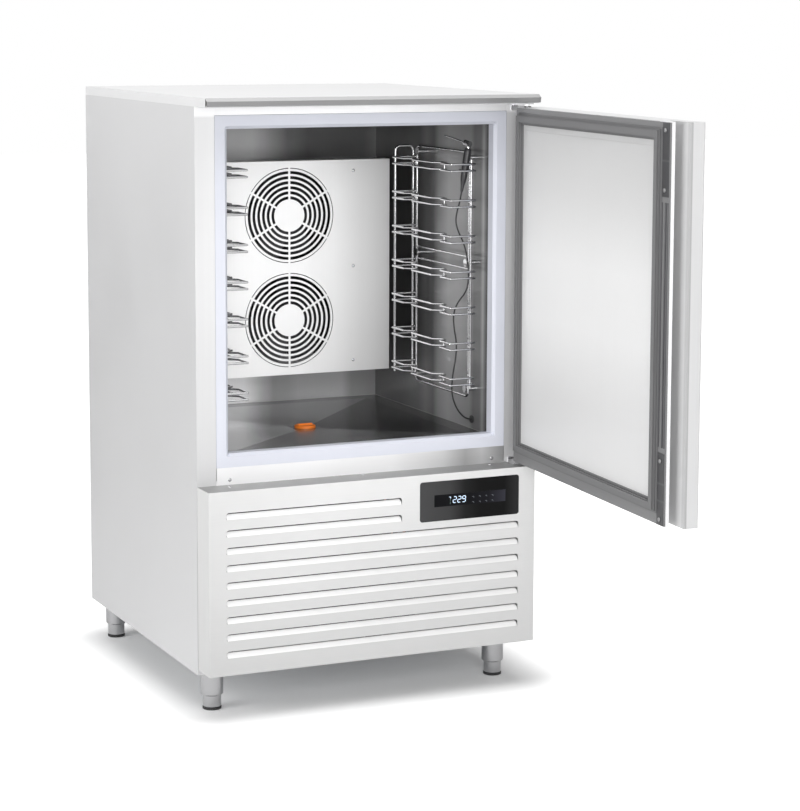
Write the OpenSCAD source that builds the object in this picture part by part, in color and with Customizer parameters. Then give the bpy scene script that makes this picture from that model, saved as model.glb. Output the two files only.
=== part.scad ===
// Reach-in blast chiller with seven tray levels, its door standing open.
// Millimetres. Construction frame: X = 0 on the centre line of the cabinet, right side +X,
// Y = 0 on the front plane of the body with the back at +Y, Z = 0 on the floor.
// The whole piece is then moved so that the origin is the middle of its box on the floor.

/* [Cabinet] */
// Outside width of the cabinet
cabinet_w = 790; // [760:5:860]
// Depth from the front plane of the body to its back
cabinet_d = 770; // [740:5:840]
// Height from the floor to the top of the worktop
cabinet_h = 1350; // [1340:5:1420]
// Height of the body above the floor
leg_h = 90; // [86:1:110]
// Thickness of the steel sheet of the body
sheet_t = 1.2; // [1:0.1:1.6]
// Width of the posts beside the door opening
post_w = 45; // [40:1:50]
// Height of the steel band between the worktop and the opening frame
header_h = 19; // [16:1:24]
// Height of the steel rail under the opening frame
sill_h = 38; // [34:1:44]
// Height of the compartment for the machine
machine_h = 418; // [412:1:430]

/* [Worktop] */
// Thickness of the worktop slab
worktop_t = 20; // [18:1:26]
// How far the nose of the worktop stands in front of the body
nose_out = 80; // [80:1:90]

/* [Chamber] */
// Clear width of the chamber
chamber_w = 662; // [656:2:666]
// Thickness of the insulated roof
roof_t = 40; // [38:1:46]
// Thickness of the insulated floor at its edges
floor_t = 60; // [56:1:66]
// Thickness of the insulated back wall
rear_t = 90; // [84:1:96]
// Thickness of the liner sheet
liner_t = 1; // [0.8:0.1:1.4]
// Fall of the chamber floor towards the drain
floor_fall = 10; // [6:1:12]
// Width of the face of the plastic opening frame
frame_w = 30; // [26:1:32]
// Depth of the plastic opening frame
frame_d = 30; // [24:1:36]

/* [Door] */
// Angle at which the door stands open
door_open = 86; // [70:1:90]
// Distance of the hinge axis from the side of the cabinet
hinge_in = 11; // [11:0.5:14]
// Distance of the hinge axis in front of the body
hinge_out = 36; // [34:1:40]
// Thickness of the door leaf without its gasket
door_t = 63.5; // [60:0.5:66]
// Height of the gasket above the inner face of the door
gasket_h = 11.5; // [8:0.5:13]
// Width of the gasket
gasket_w = 26; // [22:1:28]
// Diameter of the hinge pins
hinge_pin_d = 8; // [6:0.5:9]
// Width of the finger groove in the free edge of the door
groove_w = 18; // [16:1:20]
// Depth of the finger groove
groove_depth = 76; // [60:1:78]

/* [Evaporator] */
// Width of the evaporator cover
cover_w = 520; // [500:5:540]
// Height of the evaporator cover
cover_h = 510; // [500:5:530]
// Distance from the front plane of the body to the evaporator cover
cover_y = 440; // [430:1:450]
// Height of the lower edge of the cover above the chamber floor edge
cover_up = 102; // [90:1:110]
// Outer radius of a fan grille
grille_r = 113; // [106:1:116]
// Distance between the two fan axes
fan_spacing = 250; // [240:1:256]
// Radius of the evaporator fan rotors
rotor_r = 104; // [90:1:105]

/* [Tray racks] */
// Number of tray levels
tray_levels = 7; // [3:1:7]
// Height from one tray level to the next
level_pitch = 82; // [70:1:82]
// Distance between the two wires of one level
level_gap = 15; // [12:0.5:17]
// Diameter of the level wires
wire_d = 5; // [4:0.5:5]
// Diameter of the rack frame wires
frame_wire_d = 6; // [5:0.5:6]
// Distance from the centre line to the tray side of the racks
rack_in = 248; // [240:1:252]
// Distance from the front plane to the front wires of the racks
rack_front = 74; // [68:1:80]
// Depth of the racks
rack_d = 318; // [300:1:322]

/* [Front panel] */
// How far the louvred panel stands in front of the body
panel_out = 70; // [66:1:74]
// Distance between two louvres
louvre_pitch = 38.2; // [36:0.1:40]
// Number of louvres
louvre_count = 9; // [5:1:9]
// Width of the full louvres
louvre_w = 706; // [660:2:720]
// Height of one pressed louvre
louvre_h = 15; // [12:1:18]
// How deep the top of a louvre is pressed in
louvre_in = 6; // [4:0.5:8]
// Width of the control glass
glass_w = 247; // [240:1:252]
// Height of the control glass
glass_h = 90; // [86:1:94]

/* [Feet] */
// Outer diameter of the foot sleeves
sleeve_d = 50; // [46:1:54]
// Length of the foot sleeves below the body
sleeve_l = 58; // [54:1:60]
// Diameter of the foot stems
stem_d = 40; // [36:1:42]
// Height of the foot pads
pad_h = 7; // [5:1:9]

/* [Drain] */
// Bore of the drain pipe
drain_bore = 28; // [24:1:32]
// Diameter of the drain plug
plug_d = 50; // [44:1:54]
// Height of the cap of the drain plug
plug_h = 9; // [6:1:12]

/* [Hidden] */

$fn = 64;
eps = 0.01;
seat_gap = 0.3;
frame_gap = 0.6;
seam_w = 0.8;
running_gap = 0.05;
knuckle = 0.12;

// Cabinet levels and walls
half_w = cabinet_w / 2;
top_z = cabinet_h - worktop_t;
sill_z = leg_h + machine_h;
return_w = 22;
opening_x = half_w - post_w;
opening_z0 = sill_z + sill_h;
opening_z1 = top_z - header_h;
frame_in_x = opening_x - frame_w;
frame_in_z0 = opening_z0 + frame_w;
frame_in_z1 = opening_z1 - frame_w;
chamber_x = chamber_w / 2;
chamber_z0 = sill_z + floor_t;
chamber_z1 = top_z - roof_t;
chamber_y1 = cabinet_d - rear_t;
frame_round = 3;

// Chamber floor and drain
drain_y = 345;
sump_half = 34;
pan_t = 1.5;
sump_z = chamber_z0 - floor_fall;
drain_r = drain_bore / 2;
drain_wall = 2;
drain_thick = 4;
drain_flange_r = 30;
drain_out = 28;
plug_stem_l = 18;

// Feet
foot_in_x = 48;
foot_in_y = 44;
foot_x = half_w - foot_in_x;
foot_y0 = foot_in_y;
foot_y1 = cabinet_d - foot_in_y;
sleeve_z = leg_h - sleeve_l;
sleeve_cap = 5;
stem_top = leg_h - sleeve_cap - seat_gap;
stem_gap = 0.08;
pad_r = stem_d / 2 + 1;

// Evaporator
cover_z0 = chamber_z0 + cover_up;
cover_z1 = cover_z0 + cover_h;
fan_mid_z = cover_z0 + cover_h / 2 + 1;
fan_z = [fan_mid_z + fan_spacing / 2, fan_mid_z - fan_spacing / 2];
cover_return = 30;
slot_w = 7;
slot_pitch = 12;
slot_rings = 6;
hub_disc_r = 38.5;
rim_slot_w = 2;
spoke_w = 5;
spokes = 6;
rail_x = 165;
rail_w = 24;
rail_t = 2;
coil_y0 = cover_y + 150;
coil_d = 66;
coil_w = cover_w - 90;
coil_h = cover_h - 42;
coil_z0 = cover_z0 + 21;
coil_rows = 8;
coil_tube_r = 6;
coil_port_z = coil_z0 + coil_h - coil_h / coil_rows / 2;
shaft_r = 4;
rotor_y = cover_y + 14;
rotor_hub_r = 37;
rotor_hub_l = 42;
stator_gap = 5;
stator_l = 24;
bar_h = 34;

// Tray racks
wire_r = wire_d / 2;
post_r = frame_wire_d / 2;
weld = 0.4;
rack_back = rack_front + rack_d;
level_z0 = chamber_z0 + 112;
levels = [for (i = [0 : tray_levels - 1]) level_z0 + i * level_pitch];
stud_head_r = 9;
stud_r = 5;
stud_head_t = 3;
side_x = chamber_x - 22;
loop_front = rack_front + 30;
loop_back = rack_back - wire_r - post_r + weld;
loop_z0 = level_z0 - 33;
loop_z1 = levels[tray_levels - 1] + level_gap + 26;
brace_z = [level_z0 + 264, level_z0 + 292];
notch_y = [150, 305];
notch_out = 20;
notch_run = notch_out * 3 / 4;
notch_tip = 8;
frame_bend = 12;
bow_x = [279, 302];
bow_d = 30;
stud_z = [loop_z0 + 17, (brace_z[0] + brace_z[1]) / 2, loop_z1 - 13];

// Louvred front panel
panel_z0 = leg_h + 12;
panel_z1 = sill_z;
panel_x = half_w - 1;
panel_back = seat_gap;
louvre_top = panel_z1 - 47;
louvre_short_x = 62;
louvre_short = 2;
louvre_corner = 6;
louvre_gap = 3.4;
louvre_side = 1.2;
glass_x0 = 106;
glass_z0 = panel_z1 - 107;
glass_t = 4;
glass_gap = 0.4;
glass_corner = 6;
glass_y = -panel_out - 0.6;

// Door, drawn closed
door_edge = 3;
hinge_x = half_w - hinge_in;
hinge_y = -hinge_out;
door_x0 = -half_w + door_edge;
door_x1 = half_w - door_edge;
door_z0 = sill_z + 5;
door_z1 = top_z - 10;
seal_gap = 1;
door_in_y = -seal_gap - gasket_h;
door_out_y = door_in_y - door_t;
gasket_x0 = -half_w + 60;
gasket_x1 = half_w - 19;
gasket_z0 = door_z0 + 24;
gasket_z1 = door_z1 - 12;
lobe_step = 29;
lobe_t = 12;
lobe_x = door_x0 + lobe_step;
groove_y1 = door_in_y - lobe_t;
groove_y0 = groove_y1 - groove_w;
grip_w = groove_depth + 6;
grip_x1 = door_x0 + grip_w;
grip_round = 4;
flange_t = 4.5;
bush_r = 6.5;
bush_l = 25;
washer_r = 8;
pin_r = hinge_pin_d / 2;
pin_l = 20;
bracket_t = 3;
bracket_x0 = half_w - 45;

// Machine compartment
condenser_x0 = -half_w + 55;
condenser_w = 400;
condenser_z0 = leg_h + 40;
condenser_h = 342;
condenser_rows = 6;
condenser_tube_r = 5;
condenser_y = 24;
condenser_d = 60;
condenser_fan_x = condenser_x0 + condenser_w / 2;
condenser_fan_z = condenser_z0 + condenser_h / 2;
condenser_rotor_r = 130;
shroud_y = condenser_y + condenser_d;
shroud_d = 30;
compressor_x = 220;
compressor_y = 500;
compressor_r = 85;
compressor_z = leg_h + 24;
compressor_h = 215;
receiver_x = 200;
receiver_y = 250;
receiver_r = 40;
receiver_h = 200;
drier_x = 110;
drier_y = 330;
drier_z = leg_h + 250;
drier_l = 120;
condenser_rotor_y = shroud_y + shroud_d - 8;
condenser_hub_l = 30;
bridge_y = shroud_y + shroud_d + 58;
condenser_port = [condenser_x0 + condenser_w + 6, condenser_y + condenser_d * 3 / 4,
                  condenser_z0 + condenser_h * (1 - 0.5 / condenser_rows)];
compressor_top = compressor_z + compressor_h;
receiver_top = leg_h + 2 + receiver_h;
line_y = cabinet_d - rear_t / 2;
port_x = coil_w / 2 + 6;
gland_x = -260;
gland_z = leg_h + 90;
gland_bore_r = 6.5;
gland_out = 18;

// Core probe: the handle hangs in the front bay of the right rack
handle_y = rack_front + 18;
handle_top = [299, handle_y, 1223];
handle_end = [283, handle_y, 1124];
handle_r = 8.5;
needle_from = [298, handle_y + 1, 1233.5];
needle_to = [284, 188, 1248];
cable_d = 3.5;
cable_gap = 0.2;
grommet_flange = 3;
grommet_at = [chamber_x, 126, 589];

// Route of the probe cable, from the handle down to its grommet
cable_route = [
  [283, 92, 1124], [280, 92, 1104], [272, 91, 1082], [267, 90, 1058], [273, 89, 1034],
  [286, 88, 1010], [296, 88, 978], [300, 88, 945], [300, 88, 914], [293, 88, 891],
  [274, 88, 872], [262, 88, 846], [264, 88, 811], [271, 88, 778], [270, 88, 744],
  [263, 88, 712], [260, 90, 678], [264, 94, 650], [277, 102, 625], [296, 115, 604],
  [314, 123, 592], [328, 126, 589]
];

// Origin: the middle of the whole piece's box on the floor
door_far = [hinge_x - door_x0 - grip_round, door_out_y + grip_round - hinge_y];
door_near = [hinge_x - door_x1, door_out_y - hinge_y];
box_x1 = hinge_x - door_near[0] * cos(door_open) - door_near[1] * sin(door_open);
box_y0 = hinge_y - door_far[0] * sin(door_open) + door_far[1] * cos(door_open) - grip_round;
box_y1 = cabinet_d + gland_out;
origin_x = (box_x1 - half_w) / 2;
origin_y = (box_y0 + box_y1) / 2;

// ---------------------------------------------------------------- helpers

// A box between two corners
module block(from, to) {
  translate(from)
    cube(to - from);
}

// A cylinder along Y
module y_rod(at, r, l) {
  translate(at)
    rotate([-90, 0, 0])
      cylinder(r = r, h = l);
}

// A cylinder along X
module x_rod(at, r, l) {
  translate(at)
    rotate([0, 90, 0])
      cylinder(r = r, h = l);
}

// A cylinder along Z
module z_rod(at, r, l) {
  translate(at)
    cylinder(r = r, h = l);
}

// A rectangular ring in the plane of the front, with its depth along Y
module front_ring(x0, x1, z0, z1, w, y0, y1) {
  difference() {
    block([x0, y0, z0], [x1, y1, z1]);
    block([x0 + w, y0 - 1, z0 + w], [x1 - w, y1 + 1, z1 - w]);
  }
}

function unit(v) = v / norm(v);

// Any direction square to v
function side_of(v) = unit(cross(v, abs(v[2]) < 0.9 * norm(v) ? [0, 0, 1] : [1, 0, 0]));

// Turns local X, Y, Z to the directions x, y, z at a point
module frame_at(at, x, y, z) {
  multmatrix([
    [x[0], y[0], z[0], at[0]],
    [x[1], y[1], z[1], at[1]],
    [x[2], y[2], z[2], at[2]],
    [0, 0, 0, 1]
  ])
    children();
}

// Turn of a path at corner i, in degrees
function turn_of(path, i) =
  acos(max(-1, min(1, unit(path[i] - path[i - 1]) * unit(path[i + 1] - path[i]))));

// Only a square corner of a wire with a bend radius is rounded
function rounded(path, i, r) =
  r > 0 && i > 0 && i < len(path) - 1 && abs(turn_of(path, i) - 90) < 0.01;

// Length that the bend at corner i takes off each straight beside it
function cut_back(path, i, r) = rounded(path, i, r) ? r : 0;

function on_grid(p) = [for (v = p) round(v * 100) / 100];

// A round wire or pipe: rounded corners get true round bends, other corners get a small ball
module wire(points, d, bend_r, gap = 0) {
  path = [for (p = points) on_grid(p)];
  wide = d + gap * 2;
  for (i = [0 : len(path) - 2]) {
    dir = unit(path[i + 1] - path[i]);
    from = path[i] + dir * cut_back(path, i, bend_r);
    to = path[i + 1] - dir * cut_back(path, i + 1, bend_r);
    x = side_of(dir);
    frame_at(from, x, cross(dir, x), dir)
      cylinder(d = wide, h = norm(to - from), $fn = 24);
  }
  for (i = [1 : 1 : len(path) - 2])
    if (rounded(path, i, bend_r)) {
      a = unit(path[i] - path[i - 1]);
      b = unit(path[i + 1] - path[i]);
      frame_at(path[i] + (b - a) * bend_r, -b, a, cross(-b, a))
        rotate_extrude(angle = 90, $fn = 48)
          translate([bend_r, 0])
            circle(d = wide, $fn = 24);
    } else {
      translate(path[i])
        sphere(d = wide + knuckle, $fn = 24);
    }
}

// One or two copies, the second mirrored to the other side of the cabinet
module on_side(side) {
  if (side > 0)
    children();
  else
    mirror([1, 0, 0])
      children();
}

// Turns a closed door piece to where the door stands open
module opened() {
  translate([hinge_x, hinge_y, 0])
    rotate([0, 0, door_open])
      translate([-hinge_x, -hinge_y, 0])
        children();
}

// A return bend in the plane of the end of a coil, from one tube end to the next
module return_bend(at, r, tube_r, side, upright) {
  translate(at)
    rotate([upright ? 0 : 90, 0, 0])
      rotate([90, 0, 0])
        rotate([0, 0, side > 0 ? -90 : 90])
          rotate_extrude(angle = 180, $fn = 48)
            translate([r, 0])
              circle(r = tube_r, $fn = 24);
}

// A fin and tube coil in one circuit: up the front tubes and down the rear ones
module fin_coil(w, d, h, fins, rows, tube_r) {
  plate_t = 1.5;
  fin_t = 0.8;
  stub = 6;
  row_pitch = h / rows;
  for (x = [0, w - plate_t])
    block([x, 0, 0], [x + plate_t, d, h]);
  for (i = [1 : fins])
    block([i * w / (fins + 1) - fin_t / 2, 3, 2], [i * w / (fins + 1) + fin_t / 2, d - 3, h - 2]);
  for (column = [d / 4, d * 3 / 4]) {
    for (i = [0 : rows - 1])
      x_rod([-stub, column, row_pitch * (i + 0.5)], tube_r, w + stub * 2);
    for (i = [1 : 2 : rows - 1])
      return_bend([-stub, column, row_pitch * i], row_pitch / 2, tube_r, -1, true);
    for (i = [2 : 2 : rows - 2])
      return_bend([w + stub, column, row_pitch * i], row_pitch / 2, tube_r, 1, true);
  }
  return_bend([w + stub, d / 2, row_pitch / 2], d / 4, tube_r, 1, false);
}

// An axial fan rotor that turns about Y, with its hub at the front
module rotor(r, hub_r, hub_l, blades, chord, pitch) {
  difference() {
    y_rod([0, 0, 0], hub_r, hub_l);
    y_rod([0, 8, 0], shaft_r + running_gap, hub_l);
  }
  intersection() {
    y_rod([0, -1, 0], r, hub_l + 2);
    difference() {
      for (i = [0 : blades - 1])
        rotate([0, i * 360 / blades, 0])
          translate([0, hub_l / 2, hub_r - 3])
            rotate([0, 0, pitch])
              translate([-chord / 2, -0.8, 0])
                cube([chord, 1.6, r]);
      y_rod([0, -2, 0], hub_r - 2, hub_l + 4);
    }
  }
}

// A motor behind a rotor, with the shaft that carries the rotor
module fan_motor(stator_r, l, reach) {
  y_rod([0, 0, 0], stator_r, l);
  y_rod([0, l - 3, 0], stator_r + 8, 3);
  y_rod([0, -reach, 0], shaft_r, reach + 1);
}

// ---------------------------------------------------------------- cabinet

// Right side panel with folded edges
module side_sheet() {
  x1 = half_w;
  x0 = half_w - sheet_t;
  y0 = sheet_t;
  y1 = cabinet_d - sheet_t;
  block([x0, y0, leg_h], [x1, y1, top_z]);
  block([x1 - return_w, y0, leg_h], [x0 + eps, y0 + sheet_t, top_z]);
  block([x1 - return_w, y1 - sheet_t, leg_h], [x0 + eps, y1, top_z]);
}

module left_side_panel() {
  color("lightgray")
    on_side(-1)
      side_sheet();
}

module right_side_panel() {
  color("lightgray")
    side_sheet();
}

// Back panel with rows of air slots in its lower part
module back_panel() {
  slot_l = 60;
  color("silver")
    difference() {
      block([-half_w, cabinet_d - sheet_t, leg_h], [half_w, cabinet_d, top_z]);
      for (column = [0 : 4])
        for (row = [0 : 7])
          translate([60 + column * 64, cabinet_d, leg_h + 100 + row * 22])
            block([0, -sheet_t - 1, 0], [slot_l - 12, 1, 8]);
      y_rod([gland_x, cabinet_d - sheet_t - 1, gland_z], gland_bore_r + 3.5, sheet_t + 2);
    }
}

// Bottom tray of the machine compartment, with upturned edges
module base_tray() {
  t = 2;
  edge_h = 30;
  y0 = sheet_t * 2;
  y1 = cabinet_d - sheet_t * 2;
  x = half_w - sheet_t;
  color("silver")
    difference() {
      block([-x, y0, leg_h], [x, y1, leg_h + edge_h]);
      block([-x + return_w, y0 + t, leg_h + t], [x - return_w, y1 - t, leg_h + edge_h + 1]);
      for (side = [-1, 1])
        block([side * (x - 11) - 11 + (side > 0 ? -1 : t), y0 + t, leg_h + t],
              [side * (x - 11) + 11 + (side > 0 ? -t : 1), y1 - t, leg_h + edge_h + 1]);
      z_rod([0, drain_y, leg_h - 1], drain_r + drain_thick + seat_gap, t + 2);
    }
}

// Folded worktop with a pointed nose over the door
module worktop() {
  t = sheet_t;
  z1 = cabinet_h;
  z0 = top_z;
  n = nose_out;
  color("silver")
    union() {
      translate([half_w, 0, 0])
        rotate([90, 0, -90])
          linear_extrude(height = cabinet_w)
            polygon([
              [-cabinet_d, z0], [-cabinet_d, z1], [n - 10, z1], [n, z1 - 7], [n - 2, z0 + 2],
              [n - 14, z0], [0, z0], [0, z0 + t], [n - 14, z0 + t], [n - 2 - t, z0 + 2 + t],
              [n - t - 0.4, z1 - 7.2], [n - 10.4, z1 - t], [-cabinet_d + t, z1 - t],
              [-cabinet_d + t, z0]
            ]);
      for (side = [-1, 1])
        block([side * (half_w - t / 2) - t / 2, -n + 12, z0],
              [side * (half_w - t / 2) + t / 2, cabinet_d - t / 2, z1 - t / 2]);
    }
}

// Steel portal: the two posts and the band above the opening
module front_fascia() {
  color("gainsboro")
    difference() {
      block([-half_w, 0, sill_z], [half_w, sheet_t, top_z]);
      block([-opening_x, -1, sill_z - 1], [opening_x, sheet_t + 1, opening_z1]);
      for (x = [-opening_x, opening_x])
        block([x - seam_w / 2, -1, opening_z1 - 1], [x + seam_w / 2, sheet_t / 2, top_z + 1]);
    }
}

// Rail under the opening, with a full-width lip at its lower edge
module sill_rail() {
  lip_h = 10;
  end_gap = 1.2;
  color("gainsboro")
    union() {
      block([-opening_x + end_gap, 0, sill_z + lip_h - eps],
            [opening_x - end_gap, sheet_t, opening_z0]);
      block([-opening_x, 0, sill_z], [opening_x, sheet_t, sill_z + lip_h]);
      block([-opening_x + end_gap, 0, sill_z], [opening_x - end_gap, sheet_t + 14, sill_z + sheet_t]);
    }
}

// Moulded plastic frame round the opening, with a bevel on its inner edge
module breaker_frame() {
  bevel = frame_round * 1.5;
  y1 = frame_d;
  color([0.83, 0.84, 0.9])
    difference() {
      block([-opening_x + frame_gap, 0, opening_z0],
            [opening_x - frame_gap, y1, opening_z1 - frame_gap]);
      block([-frame_in_x, -1, frame_in_z0], [frame_in_x, y1 + 1, frame_in_z1]);
      for (side = [-1, 1])
        translate([side * frame_in_x, 0, frame_in_z0 - bevel])
          rotate([0, 0, 45])
            block([-bevel, -bevel, 0], [bevel, bevel, frame_in_z1 - frame_in_z0 + bevel * 2]);
      for (z = [frame_in_z0, frame_in_z1])
        translate([-frame_in_x - bevel, 0, z])
          rotate([45, 0, 0])
            block([0, -bevel, -bevel], [frame_in_x * 2 + bevel * 2, bevel, bevel]);
    }
}

// ---------------------------------------------------------------- chamber

// Five-sided steel liner: back, roof and the three walls stand on the floor pan
module chamber_liner() {
  y0 = frame_d;
  t = liner_t;
  hole_r = 6 + seat_gap;
  color("darkgray")
    difference() {
      block([-chamber_x - t, y0, chamber_z0 - t], [chamber_x + t, chamber_y1 + t, chamber_z1 + t]);
      block([-chamber_x, y0 - 1, chamber_z0 - t - 1], [chamber_x, chamber_y1, chamber_z1]);
      x_rod([chamber_x - 1, grommet_at[1], grommet_at[2]], hole_r, t + 2);
      for (pipe = [liquid_line(), suction_line()])
        wire(pipe[0], pipe[1], pipe[2], seat_gap);
    }
}

// The space above the sloping floor pan, lowered by a given amount
module floor_fall_space(lower) {
  inset = lower == 0 ? 0 : eps;
  hull() {
    translate([-chamber_x - inset, frame_d - inset, chamber_z0 - lower])
      cube([chamber_w + inset * 2, chamber_y1 - frame_d + inset * 2, 0.02]);
    translate([-sump_half, drain_y - sump_half, sump_z - lower])
      cube([sump_half * 2, sump_half * 2, 0.02]);
  }
}

// Pressed floor pan, four facets falling to the drain
module drain_floor() {
  color("darkgray")
    difference() {
      floor_fall_space(pan_t);
      floor_fall_space(0);
      translate([-chamber_x, frame_d, chamber_z0])
        cube([chamber_w, chamber_y1 - frame_d, 1]);
      z_rod([0, drain_y, sump_z - pan_t - 1], drain_r, pan_t + 3);
    }
}

// Drain pipe with a flange under the floor pan and a thinner spigot below the body
module drain_pipe() {
  z1 = sump_z - pan_t;
  z0 = leg_h - drain_out;
  color("dimgray")
    difference() {
      union() {
        z_rod([0, drain_y, z0], drain_r + drain_wall, drain_out);
        z_rod([0, drain_y, leg_h], drain_r + drain_thick, z1 - leg_h);
        z_rod([0, drain_y, z1 - 2], drain_flange_r, 2);
      }
      z_rod([0, drain_y, z0 - 1], drain_r, z1 - z0 + 2);
    }
}

// Orange plug with a round cap and a finger bar
module drain_plug() {
  r = plug_d / 2;
  z = sump_z + seat_gap;
  color("darkorange")
    translate([0, drain_y, z])
      difference() {
        union() {
          rotate_extrude()
            union() {
              square([r, plug_h * 0.45]);
              square([r - 2.5, plug_h * 0.6]);
            }
          z_rod([0, 0, -plug_stem_l], drain_r - seat_gap, plug_stem_l + 1);
          block([-r * 0.7, -2, 0], [r * 0.7, 2, plug_h]);
        }
        z_rod([0, 0, -plug_stem_l - 1], drain_r - 3, plug_stem_l);
      }
}

// Foamed insulation between the liner and the body
module cabinet_foam() {
  t = sheet_t;
  x = half_w - t;
  lt = liner_t;
  color("khaki")
    difference() {
      union() {
        block([-x, t * 2, sill_z + t], [x, cabinet_d - t * 2, top_z]);
        block([-x + t, 0, top_z - eps], [x - t, cabinet_d - t * 2, cabinet_h - t]);
      }
      block([-opening_x, -1, opening_z0], [opening_x, frame_d, opening_z1]);
      block([-opening_x, -1, sill_z], [opening_x, 16, opening_z0 + 1]);
      block([-chamber_x - lt, frame_d - 1, chamber_z0 - eps],
            [chamber_x + lt, chamber_y1 + lt, chamber_z1 + lt]);
      block([-chamber_x - lt, frame_d - 1, chamber_z0 - lt],
            [chamber_x + lt, chamber_y1 + lt, chamber_z0]);
      block([-chamber_x, frame_d - 1, sump_z - pan_t - 2], [chamber_x, chamber_y1, chamber_z0]);
      z_rod([0, drain_y, sill_z - 1], drain_r + drain_thick + seat_gap, floor_t);
      z_rod([0, drain_y, sump_z - pan_t - 3], drain_flange_r + seat_gap, 4);
      x_rod([chamber_x, grommet_at[1], grommet_at[2]], 7, 30);
      for (pipe = [liquid_line(), suction_line()])
        wire(pipe[0], pipe[1], pipe[2], seat_gap);
    }
}

// ---------------------------------------------------------------- evaporator

// The air slots of one fan grille, as a flat outline
module grille_slots() {
  difference() {
    union() {
      for (i = [0 : slot_rings - 1])
        difference() {
          circle(r = hub_disc_r + i * slot_pitch + slot_w);
          circle(r = hub_disc_r + i * slot_pitch);
        }
      difference() {
        circle(r = grille_r);
        circle(r = grille_r - rim_slot_w);
      }
    }
    for (i = [0 : spokes / 2 - 1])
      rotate(90 + i * 360 / spokes)
        square([grille_r * 2 + 2, spoke_w], center = true);
  }
}

// Folded cover with two round grilles cut into its face
module evaporator_cover() {
  t = sheet_t;
  x = cover_w / 2;
  color("whitesmoke")
    difference() {
      block([-x, cover_y, cover_z0], [x, cover_y + cover_return, cover_z1]);
      block([-x + t, cover_y + t, cover_z0 + t], [x - t, cover_y + cover_return + 1, cover_z1 - t]);
      for (z = fan_z)
        translate([0, cover_y - 1, z])
          rotate([90, 0, 0])
            translate([0, 0, -t - 2])
              linear_extrude(height = t + 2, $fn = 96)
                grille_slots();
    }
}

// Two upright channels that carry the cover, the motors and the coil
module fan_frame() {
  y0 = cover_y + sheet_t;
  y1 = coil_y0;
  z0 = cover_z0 + 6;
  z1 = cover_z1 - 6;
  bar_y = rotor_y + rotor_hub_l + stator_gap + stator_l;
  color("silver")
    union() {
      for (side = [-1, 1])
        on_side(side)
          translate([rail_x - rail_w / 2, 0, 0])
            difference() {
              block([0, y0, z0], [rail_w, y1, z1]);
              block([-1, y0 + rail_t, z0 - 1], [rail_w - rail_t, y1 - rail_t, z1 + 1]);
            }
      for (z = fan_z)
        block([-rail_x - rail_w / 2 + rail_t, bar_y, z - bar_h / 2],
              [rail_x + rail_w / 2 - rail_t, bar_y + 3, z + bar_h / 2]);
      for (z = [z0 + 30, z1 - 30 - bar_h])
        block([-coil_w / 2, y1 - rail_t, z], [coil_w / 2, y1, z + bar_h]);
    }
}

module evaporator_coil() {
  w = coil_w;
  color("lightsteelblue")
    union() {
      translate([-w / 2, coil_y0, coil_z0])
        fin_coil(w, coil_d, coil_h, 20, coil_rows, coil_tube_r);
      for (side = [-1, 1])
        on_side(side)
          for (z = [coil_z0 + 10, coil_z0 + coil_h - 30])
            block([w / 2 - 20, coil_y0 + coil_d - 4, z], [w / 2 - 1, chamber_y1, z + 20]);
    }
}

module motor_at(z) {
  color("dimgray")
    translate([0, rotor_y + rotor_hub_l + stator_gap, z])
      fan_motor(34, stator_l, rotor_hub_l - 4);
}

module upper_fan_motor() {
  motor_at(fan_z[0]);
}

module lower_fan_motor() {
  motor_at(fan_z[1]);
}

module rotor_at(z) {
  color("dimgray")
    translate([0, rotor_y, z])
      rotor(rotor_r, rotor_hub_r, rotor_hub_l, 7, 58, 32);
}

module upper_fan_rotor() {
  rotor_at(fan_z[0]);
}

module lower_fan_rotor() {
  rotor_at(fan_z[1]);
}

// ---------------------------------------------------------------- tray racks

// One level wire seen from above: its two notches slope 4 outward on 3 along
function level_path(z) = concat(
  [[side_x, loop_front, z], [side_x, rack_front, z], [rack_in, rack_front, z]],
  [for (y = notch_y)
    each [
      [rack_in, y - notch_tip - notch_run, z], [rack_in + notch_out, y - notch_tip, z],
      [rack_in + notch_out, y + notch_tip, z], [rack_in, y + notch_tip + notch_run, z]
    ]],
  [[rack_in, rack_back, z], [side_x + wire_r, rack_back, z]]
);

// Right rack: two wires a level, the end frame, and the loop that the wall studs hold
module rack() {
  levels_h = levels[tray_levels - 1] + level_gap - level_z0;
  frame_back = rack_back + wire_r + post_r - weld;
  post_y = rack_front + wire_d - weld;
  for (z = levels)
    for (rise = [0, level_gap])
      wire(level_path(z + rise), wire_d, 0);
  for (z = levels)
    for (y = notch_y)
      z_rod([rack_in + notch_out, y, z], wire_r - seat_gap, level_gap);
  wire([[rack_in + 8, frame_back, level_z0 - 10], [rack_in + 8, frame_back, loop_z1],
        [side_x - 6, frame_back, loop_z1], [side_x - 6, frame_back, level_z0 - 10]],
       frame_wire_d, frame_bend);
  wire([[side_x, loop_back, loop_z0 + 40], [side_x, loop_back, loop_z1], [side_x, loop_front, loop_z1],
        [side_x, loop_front, loop_z0], [side_x, loop_back, loop_z0], [side_x, loop_back, loop_z0 + 40]],
       frame_wire_d, frame_bend);
  for (z = brace_z)
    wire([[side_x, loop_front, z], [side_x, loop_back, z]], wire_d, 0);
  z_rod([side_x - 8, post_y, level_z0 - 10], wire_r, levels_h + 20);
}

// Small wire bow that holds the handle of the probe
module probe_bow() {
  top = levels[tray_levels - 1];
  z = top + 1;
  near = rack_front + 1;
  far = near + bow_d;
  wire([[bow_x[0], near, z], [bow_x[0], far, z], [bow_x[1], far, z], [bow_x[1], near, z]], 3, 6);
}

module left_tray_rack() {
  color("silver")
    on_side(-1)
      rack();
}

module right_tray_rack() {
  color("silver")
    union() {
      rack();
      probe_bow();
    }
}

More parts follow.
